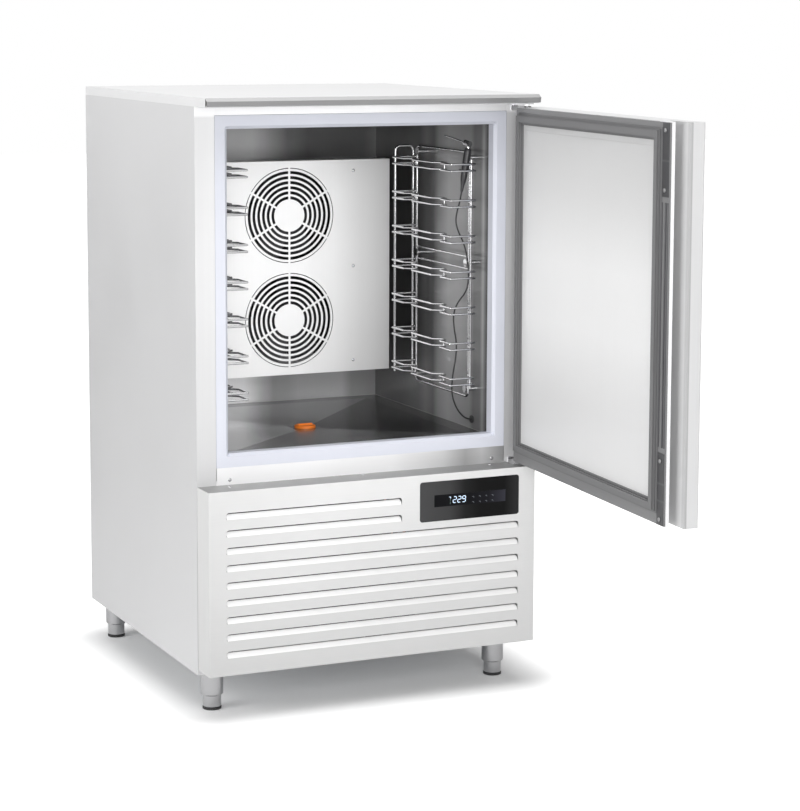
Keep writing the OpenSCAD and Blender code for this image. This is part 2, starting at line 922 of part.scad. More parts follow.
// Headed studs on the chamber walls that the racks hang on
module rack_studs() {
  head_x = side_x - post_r - seat_gap - stud_head_t;
  color("silver")
    for (side = [-1, 1])
      on_side(side)
        for (z = stud_z)
          for (y = [loop_front + post_r + stud_r + seat_gap, loop_back - post_r - stud_r - seat_gap]) {
            x_rod([head_x, y, z], stud_head_r, stud_head_t);
            x_rod([head_x, y, z], stud_r, chamber_x - head_x);
          }
}

// ---------------------------------------------------------------- core probe

// Turned shape along the line between two points
module along(from, to) {
  line = unit(to - from);
  x = side_of(line);
  frame_at(from, x, cross(line, x), line)
    children();
}

module probe_handle() {
  l = norm(handle_top - handle_end);
  color([0.08, 0.08, 0.09])
    along(handle_end, handle_top)
      rotate_extrude()
        polygon([
          [0, 0], [3, 0], [4.5, 16], [6.5, 26], [handle_r - 1, 34], [handle_r, 60],
          [handle_r, l - 6], [handle_r - 2, l], [0, l]
        ]);
}

module probe_needle() {
  l = norm(needle_to - needle_from);
  color("silver")
    union() {
      along(needle_from, needle_to)
        union() {
          translate([0, 0, -9])
            cylinder(r = 7, h = 18);
          cylinder(r = 1.8, h = l - 8);
          translate([0, 0, l - 8])
            cylinder(r1 = 1.8, r2 = 0.4, h = 8, $fn = 32);
        }
      along(handle_top, handle_top * 2 - handle_end)
        cylinder(r = 5, h = 9);
    }
}

// Points of the cable, with two rounding passes so that the bends are soft
function soften(p, passes) =
  passes == 0 ? p :
  soften(concat([p[0]], [for (i = [0 : len(p) - 2]) each [
    p[i] * 0.75 + p[i + 1] * 0.25, p[i] * 0.25 + p[i + 1] * 0.75]], [p[len(p) - 1]]), passes - 1);

function heading(p, i) =
  unit(p[min(i + 1, len(p) - 1)] - p[max(i - 1, 0)]);

// A tube of n sides swept along points
module swept_tube(p, r, n, first, last_way) {
  rings = [for (i = [0 : len(p) - 1])
    let (
      t = i == 0 ? first : i == len(p) - 1 ? last_way : heading(p, i),
      a = unit(cross(t, [0, 1, 0])),
      b = cross(t, a)
    )
      for (k = [0 : n - 1]) p[i] + a * r * cos(k * 360 / n) + b * r * sin(k * 360 / n)];
  last = (len(p) - 1) * n;
  sides = [for (i = [0 : len(p) - 2]) for (k = [0 : n - 1])
    each [[i * n + k, (i + 1) * n + (k + 1) % n, i * n + (k + 1) % n],
          [i * n + k, (i + 1) * n + k, (i + 1) * n + (k + 1) % n]]];
  polyhedron(
    points = rings,
    faces = concat(sides, [[for (k = [0 : n - 1]) k], [for (k = [n - 1 : -1 : 0]) last + k]])
  );
}

module probe_cable() {
  first = unit(handle_end - handle_top);
  last = len(cable_route) - 1;
  start = handle_end + first * cable_gap;
  finish = grommet_at - [grommet_flange + cable_gap, 0, 0];
  route = [for (i = [0 : last]) i == 0 ? start : i == last ? finish : cable_route[i]];
  color([0.08, 0.08, 0.09])
    swept_tube(soften(route, 1), cable_d / 2, 8, first, [1, 0, 0]);
}

// Rubber grommet in the right wall
module cable_grommet() {
  color([0.08, 0.08, 0.09])
    union() {
      x_rod([chamber_x - grommet_flange, grommet_at[1], grommet_at[2]], 9, grommet_flange);
      x_rod([chamber_x - grommet_flange, grommet_at[1], grommet_at[2]], 6, grommet_flange + 12);
    }
}

// ---------------------------------------------------------------- hinges

module top_hinge() {
  z1 = top_z - seat_gap;
  z0 = z1 - bracket_t;
  leg_l = 15;
  color("silver")
    union() {
      block([bracket_x0, hinge_y - 14, z0], [half_w - door_edge, 0, z1]);
      block([bracket_x0 + 10, -bracket_t, z0 - leg_l], [half_w - door_edge, 0, z0 + eps]);
      z_rod([hinge_x, hinge_y, door_z1 - pin_l], pin_r, z0 - door_z1 + pin_l + 1);
    }
}

module bottom_hinge() {
  z0 = sill_z + seat_gap;
  z1 = z0 + bracket_t;
  leg_l = 10;
  color("silver")
    union() {
      block([bracket_x0, hinge_y - 14, z0], [half_w - door_edge, 0, z1]);
      block([bracket_x0 + 10, -bracket_t, z1 - eps], [half_w - door_edge, 0, z1 + leg_l]);
      z_rod([hinge_x, hinge_y, z1 - 1], pin_r, door_z0 + pin_l - z1 + 1);
    }
}

// ---------------------------------------------------------------- front panel and controls

// Right end of louvre number i
function louvre_x1(i) = i < louvre_short ? louvre_short_x : louvre_w / 2;

// Outline of one louvre seen from the front, open below and round at its upper corners
module louvre_outline(x0, x1, z, top, bottom) {
  r = louvre_corner;
  union() {
    translate([x0, z - bottom])
      square([x1 - x0, bottom - top - r]);
    translate([x0 + r, z - top - r - eps])
      square([x1 - x0 - r * 2, r + eps]);
    for (x = [x0 + r, x1 - r])
      translate([x, z - top - r])
        circle(r = r, $fn = 32);
  }
}

module louvre_slot(x0, x1, z) {
  rotate([90, 0, 0])
    translate([0, 0, -2])
      linear_extrude(height = 4)
        louvre_outline(x0, x1, z, 0, louvre_h);
}

// Tongue of one louvre: hinged on the fold at its foot, it leans into the machine space
module louvre_tongue(x0, x1, z) {
  t = sheet_t;
  d = louvre_in;
  top = louvre_gap;
  foot = louvre_h + 1;
  intersection() {
    translate([x1, 0, z])
      rotate([90, 0, -90])
        linear_extrude(height = x1 - x0)
          polygon([
            [0, -foot], [0, -louvre_h], [-d, -top], [-d - t, -top], [-t, -louvre_h], [-t, -foot]
          ]);
    rotate([90, 0, 0])
      translate([0, 0, -d - t - 1])
        linear_extrude(height = d + t + 2)
          louvre_outline(x0, x1, z, top, foot + 1);
  }
}

// Box-shaped service panel with pressed louvres and the cut-out for the control glass
module louvre_panel() {
  t = sheet_t;
  y = -panel_out;
  x = panel_x;
  louvre_x0 = -louvre_w / 2;
  color("whitesmoke")
    union() {
      difference() {
        block([-x, y, panel_z0], [x, -panel_back, panel_z1]);
        block([-x + t, y + t, panel_z0 + t], [x - t, -panel_back + 1, panel_z1 - t]);
        block([-x + 20, y + 30, panel_z0 - 1], [x - 20, 1, panel_z0 + t + 1]);
        for (i = [0 : louvre_count - 1])
          translate([0, y, 0])
            louvre_slot(louvre_x0, louvre_x1(i), louvre_top - i * louvre_pitch);
        glass_plate(y - 1, t + 2, glass_gap);
      }
      for (i = [0 : louvre_count - 1])
        translate([0, y, 0])
          louvre_tongue(louvre_x0 + louvre_side, louvre_x1(i) - louvre_side,
                        louvre_top - i * louvre_pitch);
    }
}

// Upright plate with the outline of the control glass, its front at y, grown by a margin
module glass_plate(y, thick, margin) {
  r = glass_corner + margin;
  w = glass_w + margin * 2;
  h = glass_h + margin * 2;
  translate([glass_x0 - margin, y + thick, glass_z0 - margin])
    rotate([90, 0, 0])
      linear_extrude(height = thick)
        union() {
          translate([r, 0])
            square([w - r * 2, h]);
          translate([0, r])
            square([w, h - r * 2]);
          for (x = [r, w - r])
            for (z = [r, h - r])
              translate([x, z])
                circle(r = r, $fn = 32);
        }
}

// Black glass of the controls
module control_glass() {
  color([0.08, 0.08, 0.1])
    glass_plate(glass_y, glass_t, 0);
}

// Housing of the controls behind the panel
module control_housing() {
  y0 = glass_y + glass_t;
  y1 = -22;
  t = 2.5;
  lip = 8;
  color("dimgray")
    difference() {
      union() {
        block([glass_x0 + 6, y0, glass_z0 + 6], [glass_x0 + glass_w - 6, y1, glass_z0 + glass_h - 6]);
        block([glass_x0 - lip, y0, glass_z0 - lip],
              [glass_x0 + glass_w + lip, y0 + t, glass_z0 + glass_h + lip]);
      }
      block([glass_x0 + 6 + t, y0 + t * 2, glass_z0 + 6 + t],
            [glass_x0 + glass_w - 6 - t, y1 + 1, glass_z0 + glass_h - 6 - t]);
    }
}

// ---------------------------------------------------------------- machine

// Hermetic compressor with domed ends and its base plate
module compressor() {
  r = compressor_r;
  h = compressor_h;
  dome = 40;
  color([0.12, 0.12, 0.13])
    translate([compressor_x, compressor_y, compressor_z])
      union() {
        rotate_extrude()
          union() {
            translate([0, dome])
              square([r, h - dome * 2]);
            for (z = [dome, h - dome])
              intersection() {
                square([r, h]);
                translate([0, z])
                  circle(r = r);
                translate([0, z == dome ? 0 : h - dome])
                  square([r, dome]);
              }
          }
        block([-95, -80, -2], [95, 80, 2]);
        block([-60, -60, 0], [60, 60, dome]);
      }
}

// Rubber mounts under the base plate of the compressor
module compressor_mounts() {
  z0 = leg_h + 2;
  z1 = compressor_z - 2;
  color([0.1, 0.1, 0.1])
    for (x = [-80, 80])
      for (y = [-65, 65])
        z_rod([compressor_x + x, compressor_y + y, z0], 14, z1 - z0);
}

module condenser_coil() {
  color("lightsteelblue")
    union() {
      translate([condenser_x0, condenser_y, condenser_z0])
        fin_coil(condenser_w, condenser_d, condenser_h, 22, condenser_rows, condenser_tube_r);
      for (x = [condenser_x0, condenser_x0 + condenser_w - 40])
        block([x, condenser_y + 10, leg_h + 2], [x + 40, condenser_y + 12, condenser_z0 + 10]);
    }
}

// Shroud of the condenser fan, with the ring round its rotor and the motor bridge
module condenser_shroud() {
  r = condenser_rotor_r + 5;
  y0 = shroud_y;
  y1 = y0 + shroud_d;
  color("silver")
    union() {
      difference() {
        block([condenser_x0, y0, condenser_z0],
              [condenser_x0 + condenser_w, y1, condenser_z0 + condenser_h]);
        block([condenser_x0 + 2, y0 - 1, condenser_z0 + 2],
              [condenser_x0 + condenser_w - 2, y1 - 2, condenser_z0 + condenser_h - 2]);
        y_rod([condenser_fan_x, y0 - 1, condenser_fan_z], r, shroud_d + 2);
      }
      difference() {
        y_rod([condenser_fan_x, y1 - 2, condenser_fan_z], r + 2, 24);
        y_rod([condenser_fan_x, y1 - 3, condenser_fan_z], r, 26);
      }
      for (x = [-r - 14, r + 2])
        block([condenser_fan_x + x, y1 - eps, condenser_fan_z - 12],
              [condenser_fan_x + x + 12, bridge_y + 3, condenser_fan_z + 12]);
      block([condenser_fan_x - r - 14, bridge_y, condenser_fan_z - 12],
            [condenser_fan_x + r + 14, bridge_y + 3, condenser_fan_z + 12]);
    }
}

module condenser_rotor() {
  color("dimgray")
    translate([condenser_fan_x, condenser_rotor_y, condenser_fan_z])
      rotor(condenser_rotor_r, 40, condenser_hub_l, 5, 60, 26);
}

module condenser_motor() {
  y = condenser_rotor_y + condenser_hub_l + stator_gap;
  color("dimgray")
    translate([condenser_fan_x, y, condenser_fan_z])
      fan_motor(38, bridge_y - y, condenser_hub_l - 4);
}

// Liquid receiver: an upright cylinder on the base tray
module liquid_receiver() {
  r = receiver_r;
  z0 = leg_h + 2;
  color([0.12, 0.12, 0.13])
    translate([receiver_x, receiver_y, z0])
      union() {
        rotate_extrude()
          union() {
            translate([0, 14])
              square([r, receiver_h - 28]);
            square([r - 10, receiver_h]);
            for (z = [14, receiver_h - 14])
              translate([r - 14, z])
                circle(r = 14, $fn = 48);
          }
        z_rod([0, 0, 0], r - 6, 4);
      }
}

// Each line is a path, its outside diameter and its bend radius
function liquid_line() = [[
  [drier_x, drier_y + drier_l, drier_z], [drier_x, line_y, drier_z], [port_x + 30, line_y, drier_z],
  [port_x + 30, line_y, coil_port_z], [port_x + 30, coil_y0 + coil_d * 3 / 4, coil_port_z],
  [port_x, coil_y0 + coil_d * 3 / 4, coil_port_z]
], 8, 12];

function suction_line() = [[
  [port_x + 54, compressor_y, compressor_top], [port_x + 54, compressor_y, compressor_top + 60],
  [port_x + 54, line_y, compressor_top + 60], [port_x + 54, line_y, coil_port_z],
  [port_x + 54, coil_y0 + coil_d / 4, coil_port_z], [port_x, coil_y0 + coil_d / 4, coil_port_z]
], 12, 20];

function discharge_line() = [[
  [compressor_x - 40, compressor_y, compressor_top], [compressor_x - 40, compressor_y, condenser_port[2]],
  [condenser_port[0] + 30, compressor_y, condenser_port[2]],
  [condenser_port[0] + 30, condenser_port[1], condenser_port[2]], condenser_port
], 10, 16];

function condensate_line() = [[
  condenser_port - [0, condenser_d / 2, 0], condenser_port + [60, -condenser_d / 2, 0],
  [condenser_port[0] + 60, receiver_y, condenser_port[2]],
  [receiver_x + 15, receiver_y, condenser_port[2]], [receiver_x + 15, receiver_y, receiver_top]
], 8, 16];

function receiver_line() = [[
  [receiver_x - 15, receiver_y, receiver_top], [receiver_x - 15, receiver_y, drier_z],
  [drier_x, receiver_y, drier_z], [drier_x, drier_y, drier_z]
], 8, 16];

// Copper lines between compressor, condenser, receiver, drier and evaporator
module refrigerant_pipes() {
  color("peru")
    for (pipe = [liquid_line(), suction_line(), discharge_line(), condensate_line(), receiver_line()])
      wire(pipe[0], pipe[1], pipe[2]);
}

// Copper filter drier with tapered ends
module filter_drier() {
  color("peru")
    translate([drier_x, drier_y, drier_z])
      rotate([-90, 0, 0])
        rotate_extrude()
          polygon([[0, 0], [5, 0], [14, 16], [14, drier_l - 16], [5, drier_l], [0, drier_l]]);
}

// Box for the contactor and the terminals
module electrical_box() {
  y0 = 40;
  color("silver")
    union() {
      difference() {
        block([half_w - 165, y0, leg_h + 80], [half_w - sheet_t, y0 + 90, leg_h + 260]);
        block([half_w - 163, y0 + 2, leg_h + 82], [half_w - sheet_t - 2, y0 + 91, leg_h + 258]);
      }
      block([half_w - 165, y0 + 88, leg_h + 80], [half_w - sheet_t, y0 + 90, leg_h + 260]);
    }
}

// Cable gland for the mains lead at the back
module mains_gland() {
  y0 = cabinet_d - sheet_t - 8;
  l = box_y1 - y0;
  color([0.1, 0.1, 0.1])
    difference() {
      union() {
        y_rod([gland_x, y0, gland_z], gland_bore_r + 3.2, l);
        translate([gland_x, cabinet_d, gland_z])
          rotate([-90, 0, 0])
            cylinder(r = 14, h = 6, $fn = 6);
        y_rod([gland_x, cabinet_d + 6, gland_z], 12, gland_out - 6);
        y_rod([gland_x, y0, gland_z], 13, 8);
      }
      y_rod([gland_x, y0 - 1, gland_z], gland_bore_r, l + 2);
    }
}

// ---------------------------------------------------------------- feet

// Fixed sleeve of one foot, closed at its top
module foot_sleeves() {
  r = sleeve_d / 2;
  color("darkgray")
    for (x = [-foot_x, foot_x])
      for (y = [foot_y0, foot_y1])
        translate([x, y, sleeve_z])
          difference() {
            rotate_extrude()
              polygon([[0, 0], [r - 3, 0], [r, 3], [r, sleeve_l], [0, sleeve_l]]);
            translate([0, 0, -1])
              cylinder(r = stem_d / 2 + stem_gap, h = sleeve_l - sleeve_cap + 1);
          }
}

module stem_at(x, y) {
  color("silver")
    z_rod([x, y, pad_h], stem_d / 2, stem_top - pad_h);
}

module pad_at(x, y) {
  color([0.1, 0.1, 0.1])
    translate([x, y, 0])
      rotate_extrude()
        polygon([[0, 0], [pad_r - 1, 0], [pad_r, 1], [pad_r, pad_h - 2], [pad_r - 2, pad_h], [0, pad_h]]);
}

module front_left_foot() {
  stem_at(-foot_x, foot_y0);
}

module front_right_foot() {
  stem_at(foot_x, foot_y0);
}

module rear_left_foot() {
  stem_at(-foot_x, foot_y1);
}

module rear_right_foot() {
  stem_at(foot_x, foot_y1);
}

module front_left_pad() {
  pad_at(-foot_x, foot_y0);
}

module front_right_pad() {
  pad_at(foot_x, foot_y0);
}

module rear_left_pad() {
  pad_at(-foot_x, foot_y1);
}

module rear_right_pad() {
  pad_at(foot_x, foot_y1);
}

// ---------------------------------------------------------------- door

// Outer steel skin: front, hinge edge, top and bottom
module door_skin() {
  t = sheet_t;
  color("gainsboro")
    opened()
      difference() {
        block([grip_x1, door_out_y, door_z0], [door_x1, door_in_y - flange_t, door_z1]);
        block([grip_x1 - 1, door_out_y + t, door_z0 + t], [door_x1 - t, door_in_y + 1, door_z1 - t]);
        z_rod([hinge_x, hinge_y, door_z0 - 1], bush_r + running_gap, door_z1 - door_z0 + 2);
      }
}

module door_foam() {
  t = sheet_t;
  color("khaki")
    opened()
      difference() {
        block([grip_x1, door_out_y + t, door_z0 + t], [door_x1 - t, door_in_y - flange_t, door_z1 - t]);
        z_rod([hinge_x, hinge_y, door_z0 - 1], bush_r + running_gap, bush_l + 1 + running_gap);
        z_rod([hinge_x, hinge_y, door_z1 - bush_l - running_gap], bush_r + running_gap, bush_l + 1);
      }
}

// Dark plastic flange round the inner panel, with the groove that holds the gasket
module door_frame() {
  edge = 1.5;
  inset = 2;
  color([0.4, 0.4, 0.41])
    opened()
      difference() {
        block([lobe_x, door_in_y - flange_t, door_z0 + edge],
              [door_x1 - edge, door_in_y, door_z1 - edge]);
        block([gasket_x0 + gasket_w - inset, door_in_y - flange_t - 1, gasket_z0 + gasket_w - inset],
              [gasket_x1 - gasket_w + inset, door_in_y + 1, gasket_z1 - gasket_w + inset]);
      }
}

// Pale pressed inner panel with a raised field
module door_panel() {
  inset = 2 + seat_gap;
  rim = 14;
  rise = 1.5;
  x0 = gasket_x0 + gasket_w - inset + seat_gap * 2;
  x1 = gasket_x1 - gasket_w + inset - seat_gap * 2;
  z0 = gasket_z0 + gasket_w - inset + seat_gap * 2;
  z1 = gasket_z1 - gasket_w + inset - seat_gap * 2;
  color("whitesmoke")
    opened()
      union() {
        block([x0, door_in_y - flange_t, z0], [x1, door_in_y, z1]);
        block([x0 + rim, door_in_y - eps, z0 + rim], [x1 - rim, door_in_y + rise, z1 - rim]);
      }
}

// Magnetic gasket: a flat foot, two bellows and the crest that meets the body
module door_gasket() {
  y0 = door_in_y;
  h = gasket_h;
  color([0.36, 0.36, 0.37])
    opened()
      union() {
        front_ring(gasket_x0, gasket_x1, gasket_z0, gasket_z1, gasket_w, y0, y0 + h * 0.35);
        front_ring(gasket_x0 + 3, gasket_x1 - 3, gasket_z0 + 3, gasket_z1 - 3, gasket_w - 6,
                   y0 + h * 0.35 - eps, y0 + h * 0.7);
        front_ring(gasket_x0 + 1, gasket_x1 - 1, gasket_z0 + 1, gasket_z1 - 1, gasket_w - 8,
                   y0 + h * 0.7 - eps, y0 + h);
      }
}

// Plan of the grip: a deep finger groove between the inner lobe and the outer lobe
module grip_plan() {
  r = groove_w / 2;
  difference() {
    union() {
      translate([door_x0 + grip_round, door_out_y])
        square([grip_w - grip_round, door_t - flange_t]);
      translate([door_x0, door_out_y + grip_round])
        square([grip_w, door_t - flange_t - grip_round]);
      translate([door_x0 + grip_round, door_out_y + grip_round])
        circle(r = grip_round);
    }
    translate([door_x0 - 1, groove_y1 - eps])
      square([lobe_step + 1, lobe_t + 1]);
    translate([door_x0 - 1, groove_y0])
      square([groove_depth - r + 1, groove_w]);
    translate([door_x0 + groove_depth - r, groove_y0 + r])
      circle(r = r);
  }
}

module grip_profile() {
  color("gainsboro")
    opened()
      translate([0, 0, door_z0])
        linear_extrude(height = door_z1 - door_z0)
          grip_plan();
}

// Two dark plates on the inner lobe, near the top and the bottom of the door
module grip_plates() {
  plate_h = 146;
  plate_t = 1.5;
  x0 = lobe_x;
  x1 = gasket_x0 - 0.5;
  color([0.25, 0.25, 0.26])
    opened()
      for (z = [door_z0 + 2, door_z1 - 2 - plate_h])
        block([x0, door_in_y, z], [x1, door_in_y + plate_t, z + plate_h]);
}

// Plastic bushes that turn on the hinge pins, each with a washer at its mouth
module door_bushes() {
  bore = pin_r + running_gap;
  color([0.08, 0.08, 0.09])
    opened()
      translate([hinge_x, hinge_y, 0]) {
        difference() {
          union() {
            z_rod([0, 0, door_z1 - bush_l], bush_r, bush_l);
            z_rod([0, 0, door_z1], washer_r, 2);
          }
          z_rod([0, 0, door_z1 - pin_l - seat_gap], bore, pin_l + 3);
        }
        difference() {
          union() {
            z_rod([0, 0, door_z0], bush_r, bush_l);
            z_rod([0, 0, door_z0 - 1.4], washer_r, 1.4);
          }
          z_rod([0, 0, door_z0 - 2], bore, pin_l + 2 + seat_gap);
        }
      }
}

// ---------------------------------------------------------------- assembly

module place() {
  translate([-origin_x, -origin_y, 0])
    children();
}

place() left_side_panel();
place() right_side_panel();
place() back_panel();
place() base_tray();
place() worktop();
place() front_fascia();
place() sill_rail();
place() breaker_frame();
place() chamber_liner();
place() drain_floor();
place() cabinet_foam();
place() drain_pipe();
place() evaporator_cover();
place() fan_frame();
place() evaporator_coil();
place() upper_fan_motor();
place() lower_fan_motor();
place() left_tray_rack();
place() right_tray_rack();
place() rack_studs();
place() probe_handle();
place() probe_needle();
place() probe_cable();
place() cable_grommet();
place() top_hinge();
place() bottom_hinge();
place() louvre_panel();
place() control_housing();
place() control_glass();
place() compressor();
place() compressor_mounts();
place() condenser_coil();
place() condenser_shroud();
place() condenser_motor();
place() liquid_receiver();
place() filter_drier();
place() refrigerant_pipes();
place() electrical_box();
place() mains_gland();
place() foot_sleeves();
place() door_skin();
place() door_foam();
place() door_frame();
place() door_panel();
place() door_gasket();
place() grip_profile();
place() grip_plates();
place() door_bushes();
place() upper_fan_rotor();
place() lower_fan_rotor();
place() condenser_rotor();
place() drain_plug();
place() front_left_foot();
place() front_right_foot();
place() rear_left_foot();
place() rear_right_foot();
place() front_left_pad();
place() front_right_pad();
place() rear_left_pad();
place() rear_right_pad();
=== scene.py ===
import math

import bpy
from mathutils import Matrix, Vector


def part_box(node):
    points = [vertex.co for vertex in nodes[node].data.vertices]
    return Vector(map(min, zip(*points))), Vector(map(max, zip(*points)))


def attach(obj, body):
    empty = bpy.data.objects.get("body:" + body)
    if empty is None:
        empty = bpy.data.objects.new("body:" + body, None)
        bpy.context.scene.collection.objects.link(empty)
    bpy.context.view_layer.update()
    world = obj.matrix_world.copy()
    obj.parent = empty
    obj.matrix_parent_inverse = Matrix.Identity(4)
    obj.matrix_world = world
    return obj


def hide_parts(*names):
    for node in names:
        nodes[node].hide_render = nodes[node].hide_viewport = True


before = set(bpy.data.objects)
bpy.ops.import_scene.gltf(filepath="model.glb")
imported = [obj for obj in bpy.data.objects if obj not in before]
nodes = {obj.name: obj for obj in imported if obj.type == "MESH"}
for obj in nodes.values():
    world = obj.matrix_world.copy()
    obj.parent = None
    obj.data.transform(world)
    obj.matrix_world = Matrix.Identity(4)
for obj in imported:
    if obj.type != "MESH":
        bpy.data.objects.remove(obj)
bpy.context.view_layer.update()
scene = bpy.context.scene
print("frame loaded:", len(nodes), "nodes")

mm = 0.001

# the cabinet's own axes: x from its middle, y from the front of its posts, z from the floor
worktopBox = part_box("worktop")
cabinetX = (worktopBox[0][0] + worktopBox[1][0]) / 2
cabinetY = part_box("front_fascia")[0][1]


def spot(x, y, z):
    return Vector((cabinetX + x * mm, cabinetY + y * mm, z * mm))


def deselectAll():
    if bpy.context.object and bpy.context.object.mode != "OBJECT":
        bpy.ops.object.mode_set(mode="OBJECT")
    bpy.ops.object.select_all(action="DESELECT")


# the camera stands where the photograph was taken from
cameraSettings = {
    "at": (-2138, -4851, 1535),
    "yaw": 24.642,
    "pitch": 7.042,
    "roll": 0.201,
    "lens": 107.15,
    "sensor": 36,
    "shiftY": -0.12,
    "clip": (0.1, 60),
}


def makeCamera(s):
    yaw, pitch, roll = (math.radians(s[k]) for k in ("yaw", "pitch", "roll"))
    level = math.cos(pitch)
    ahead = Vector((math.sin(yaw) * level, math.cos(yaw) * level, -math.sin(pitch)))
    right = Vector((math.cos(yaw), -math.sin(yaw), 0))
    up = right.cross(ahead)
    rolledRight = right * math.cos(roll) + up * math.sin(roll)
    rolledUp = up * math.cos(roll) - right * math.sin(roll)
    bpy.ops.object.camera_add()
    cam = bpy.context.object
    cam.name = "photoCamera"
    turn = Matrix((rolledRight, rolledUp, -ahead)).transposed()
    cam.matrix_world = Matrix.Translation(spot(*s["at"])) @ turn.to_4x4()
    cam.data.lens = s["lens"]
    cam.data.sensor_width = s["sensor"]
    cam.data.shift_y = s["shiftY"]
    cam.data.clip_start, cam.data.clip_end = s["clip"]
    scene.camera = cam


deselectAll()
makeCamera(cameraSettings)
print("camera made")


# steps that build node trees
def newGroup(name, inputs, outputs):
    group = bpy.data.node_groups.new(name, "ShaderNodeTree")
    for label, kind, value in inputs:
        socket = group.interface.new_socket(
            label, in_out="INPUT", socket_type="NodeSocket" + kind)
        if value is not None:
            socket.default_value = value
    for label, kind in outputs:
        group.interface.new_socket(label, in_out="OUTPUT", socket_type="NodeSocket" + kind)
    return group, group.nodes.new("NodeGroupInput"), group.nodes.new("NodeGroupOutput")


def addNode(tree, kind, values=None, **settings):
    node = tree.nodes.new("ShaderNode" + kind)
    for key, value in settings.items():
        setattr(node, key, value)
    for key, value in (values or {}).items():
        node.inputs[key].default_value = value
    return node


def mathNode(tree, operation, a, b, clamp=False):
    node = addNode(tree, "Math", operation=operation, use_clamp=clamp)
    for socket, value in zip(node.inputs, (a, b)):
        if isinstance(value, (int, float)):
            socket.default_value = value
        else:
            tree.links.new(value, socket)
    return node.outputs[0]


def scaledColor(tree, color, factor):
    node = addNode(tree, "VectorMath", operation="SCALE")
    tree.links.new(color, node.inputs[0])
    tree.links.new(factor, node.inputs["Scale"])
    return node.outputs[0]


def multiplied(tree, first, second):
    node = addNode(tree, "VectorMath", operation="MULTIPLY")
    tree.links.new(first, node.inputs[0])
    tree.links.new(second, node.inputs[1])
    return node.outputs[0]


# shader groups that several finishes share; a noise swings about its middle, and the brushing
# and the grain of the surface are so deep
noiseMiddle = 0.5
grainShare = 0.5
brushingDepth = 0.3 * mm
grainDepth = 0.2 * mm


def makeBrushedGroup():
    # fine lines along one direction, with broad faint clouds of handling over them
    group, given, out = newGroup(
        "brushedLines",
        [("Lines", "Vector", None), ("Place", "Vector", None),
         ("Color", "Color", (0.8, 0.8, 0.8, 1)), ("Line Depth", "Float", 0.05),
         ("Cloud Depth", "Float", 0.05), ("Roughness", "Float", 0.35),
         ("Roughness Spread", "Float", 0.1)],
        [("Color", "Color"), ("Roughness", "Float"), ("Height", "Float")])
    link = group.links.new
    lines = addNode(group, "TexNoise", {"Scale": 1.0, "Detail": 3.0, "Roughness": 0.6})
    link(given.outputs["Lines"], lines.inputs["Vector"])
    clouds = addNode(group, "TexNoise", {"Scale": 4.0, "Detail": 3.0, "Roughness": 0.5})
    link(given.outputs["Place"], clouds.inputs["Vector"])
    lineWave = mathNode(group, "SUBTRACT", lines.outputs["Fac"], noiseMiddle)
    cloudWave = mathNode(group, "SUBTRACT", clouds.outputs["Fac"], noiseMiddle)
    lineShade = mathNode(group, "MULTIPLY", lineWave, given.outputs["Line Depth"])
    cloudShade = mathNode(group, "MULTIPLY", cloudWave, given.outputs["Cloud Depth"])
    shade = mathNode(group, "ADD", mathNode(group, "ADD", lineShade, cloudShade), 1.0)
    link(scaledColor(group, given.outputs["Color"], shade), out.inputs["Color"])
    bothWaves = mathNode(group, "ADD", lineWave, cloudWave)
    spread = mathNode(group, "MULTIPLY", bothWaves, given.outputs["Roughness Spread"])
    link(mathNode(group, "ADD", given.outputs["Roughness"], spread), out.inputs["Roughness"])
    link(lines.outputs["Fac"], out.inputs["Height"])
    return group


def makeGrainGroup():
    # the fine skin of moulded plastic and rubber, with faint uneven tone
    group, given, out = newGroup(
        "mouldedGrain",
        [("Place", "Vector", None), ("Color", "Color", (0.5, 0.5, 0.5, 1)),
         ("Grain", "Float", 900.0), ("Tone Depth", "Float", 0.08),
         ("Roughness", "Float", 0.5), ("Roughness Spread", "Float", 0.1)],
        [("Color", "Color"), ("Roughness", "Float"), ("Height", "Float")])
    link = group.links.new
    grain = addNode(group, "TexNoise", {"Detail": 2.0, "Roughness": 0.6})
    link(given.outputs["Place"], grain.inputs["Vector"])
    link(given.outputs["Grain"], grain.inputs["Scale"])
    tone = addNode(group, "TexNoise", {"Scale": 9.0, "Detail": 4.0, "Roughness": 0.6})
    link(given.outputs["Place"], tone.inputs["Vector"])
    grainWave = mathNode(group, "SUBTRACT", grain.outputs["Fac"], noiseMiddle)
    toneWave = mathNode(group, "SUBTRACT", tone.outputs["Fac"], noiseMiddle)
    wave = mathNode(group, "ADD", toneWave, mathNode(group, "MULTIPLY", grainWave, grainShare))
    shadeWave = mathNode(group, "MULTIPLY", wave, given.outputs["Tone Depth"])
    shade = mathNode(group, "ADD", shadeWave, 1.0)
    link(scaledColor(group, given.outputs["Color"], shade), out.inputs["Color"])
    spread = mathNode(group, "MULTIPLY", toneWave, given.outputs["Roughness Spread"])
    link(mathNode(group, "ADD", given.outputs["Roughness"], spread), out.inputs["Roughness"])
    link(grain.outputs["Fac"], out.inputs["Height"])
    return group


brushedLines = makeBrushedGroup()
mouldedGrain = makeGrainGroup()

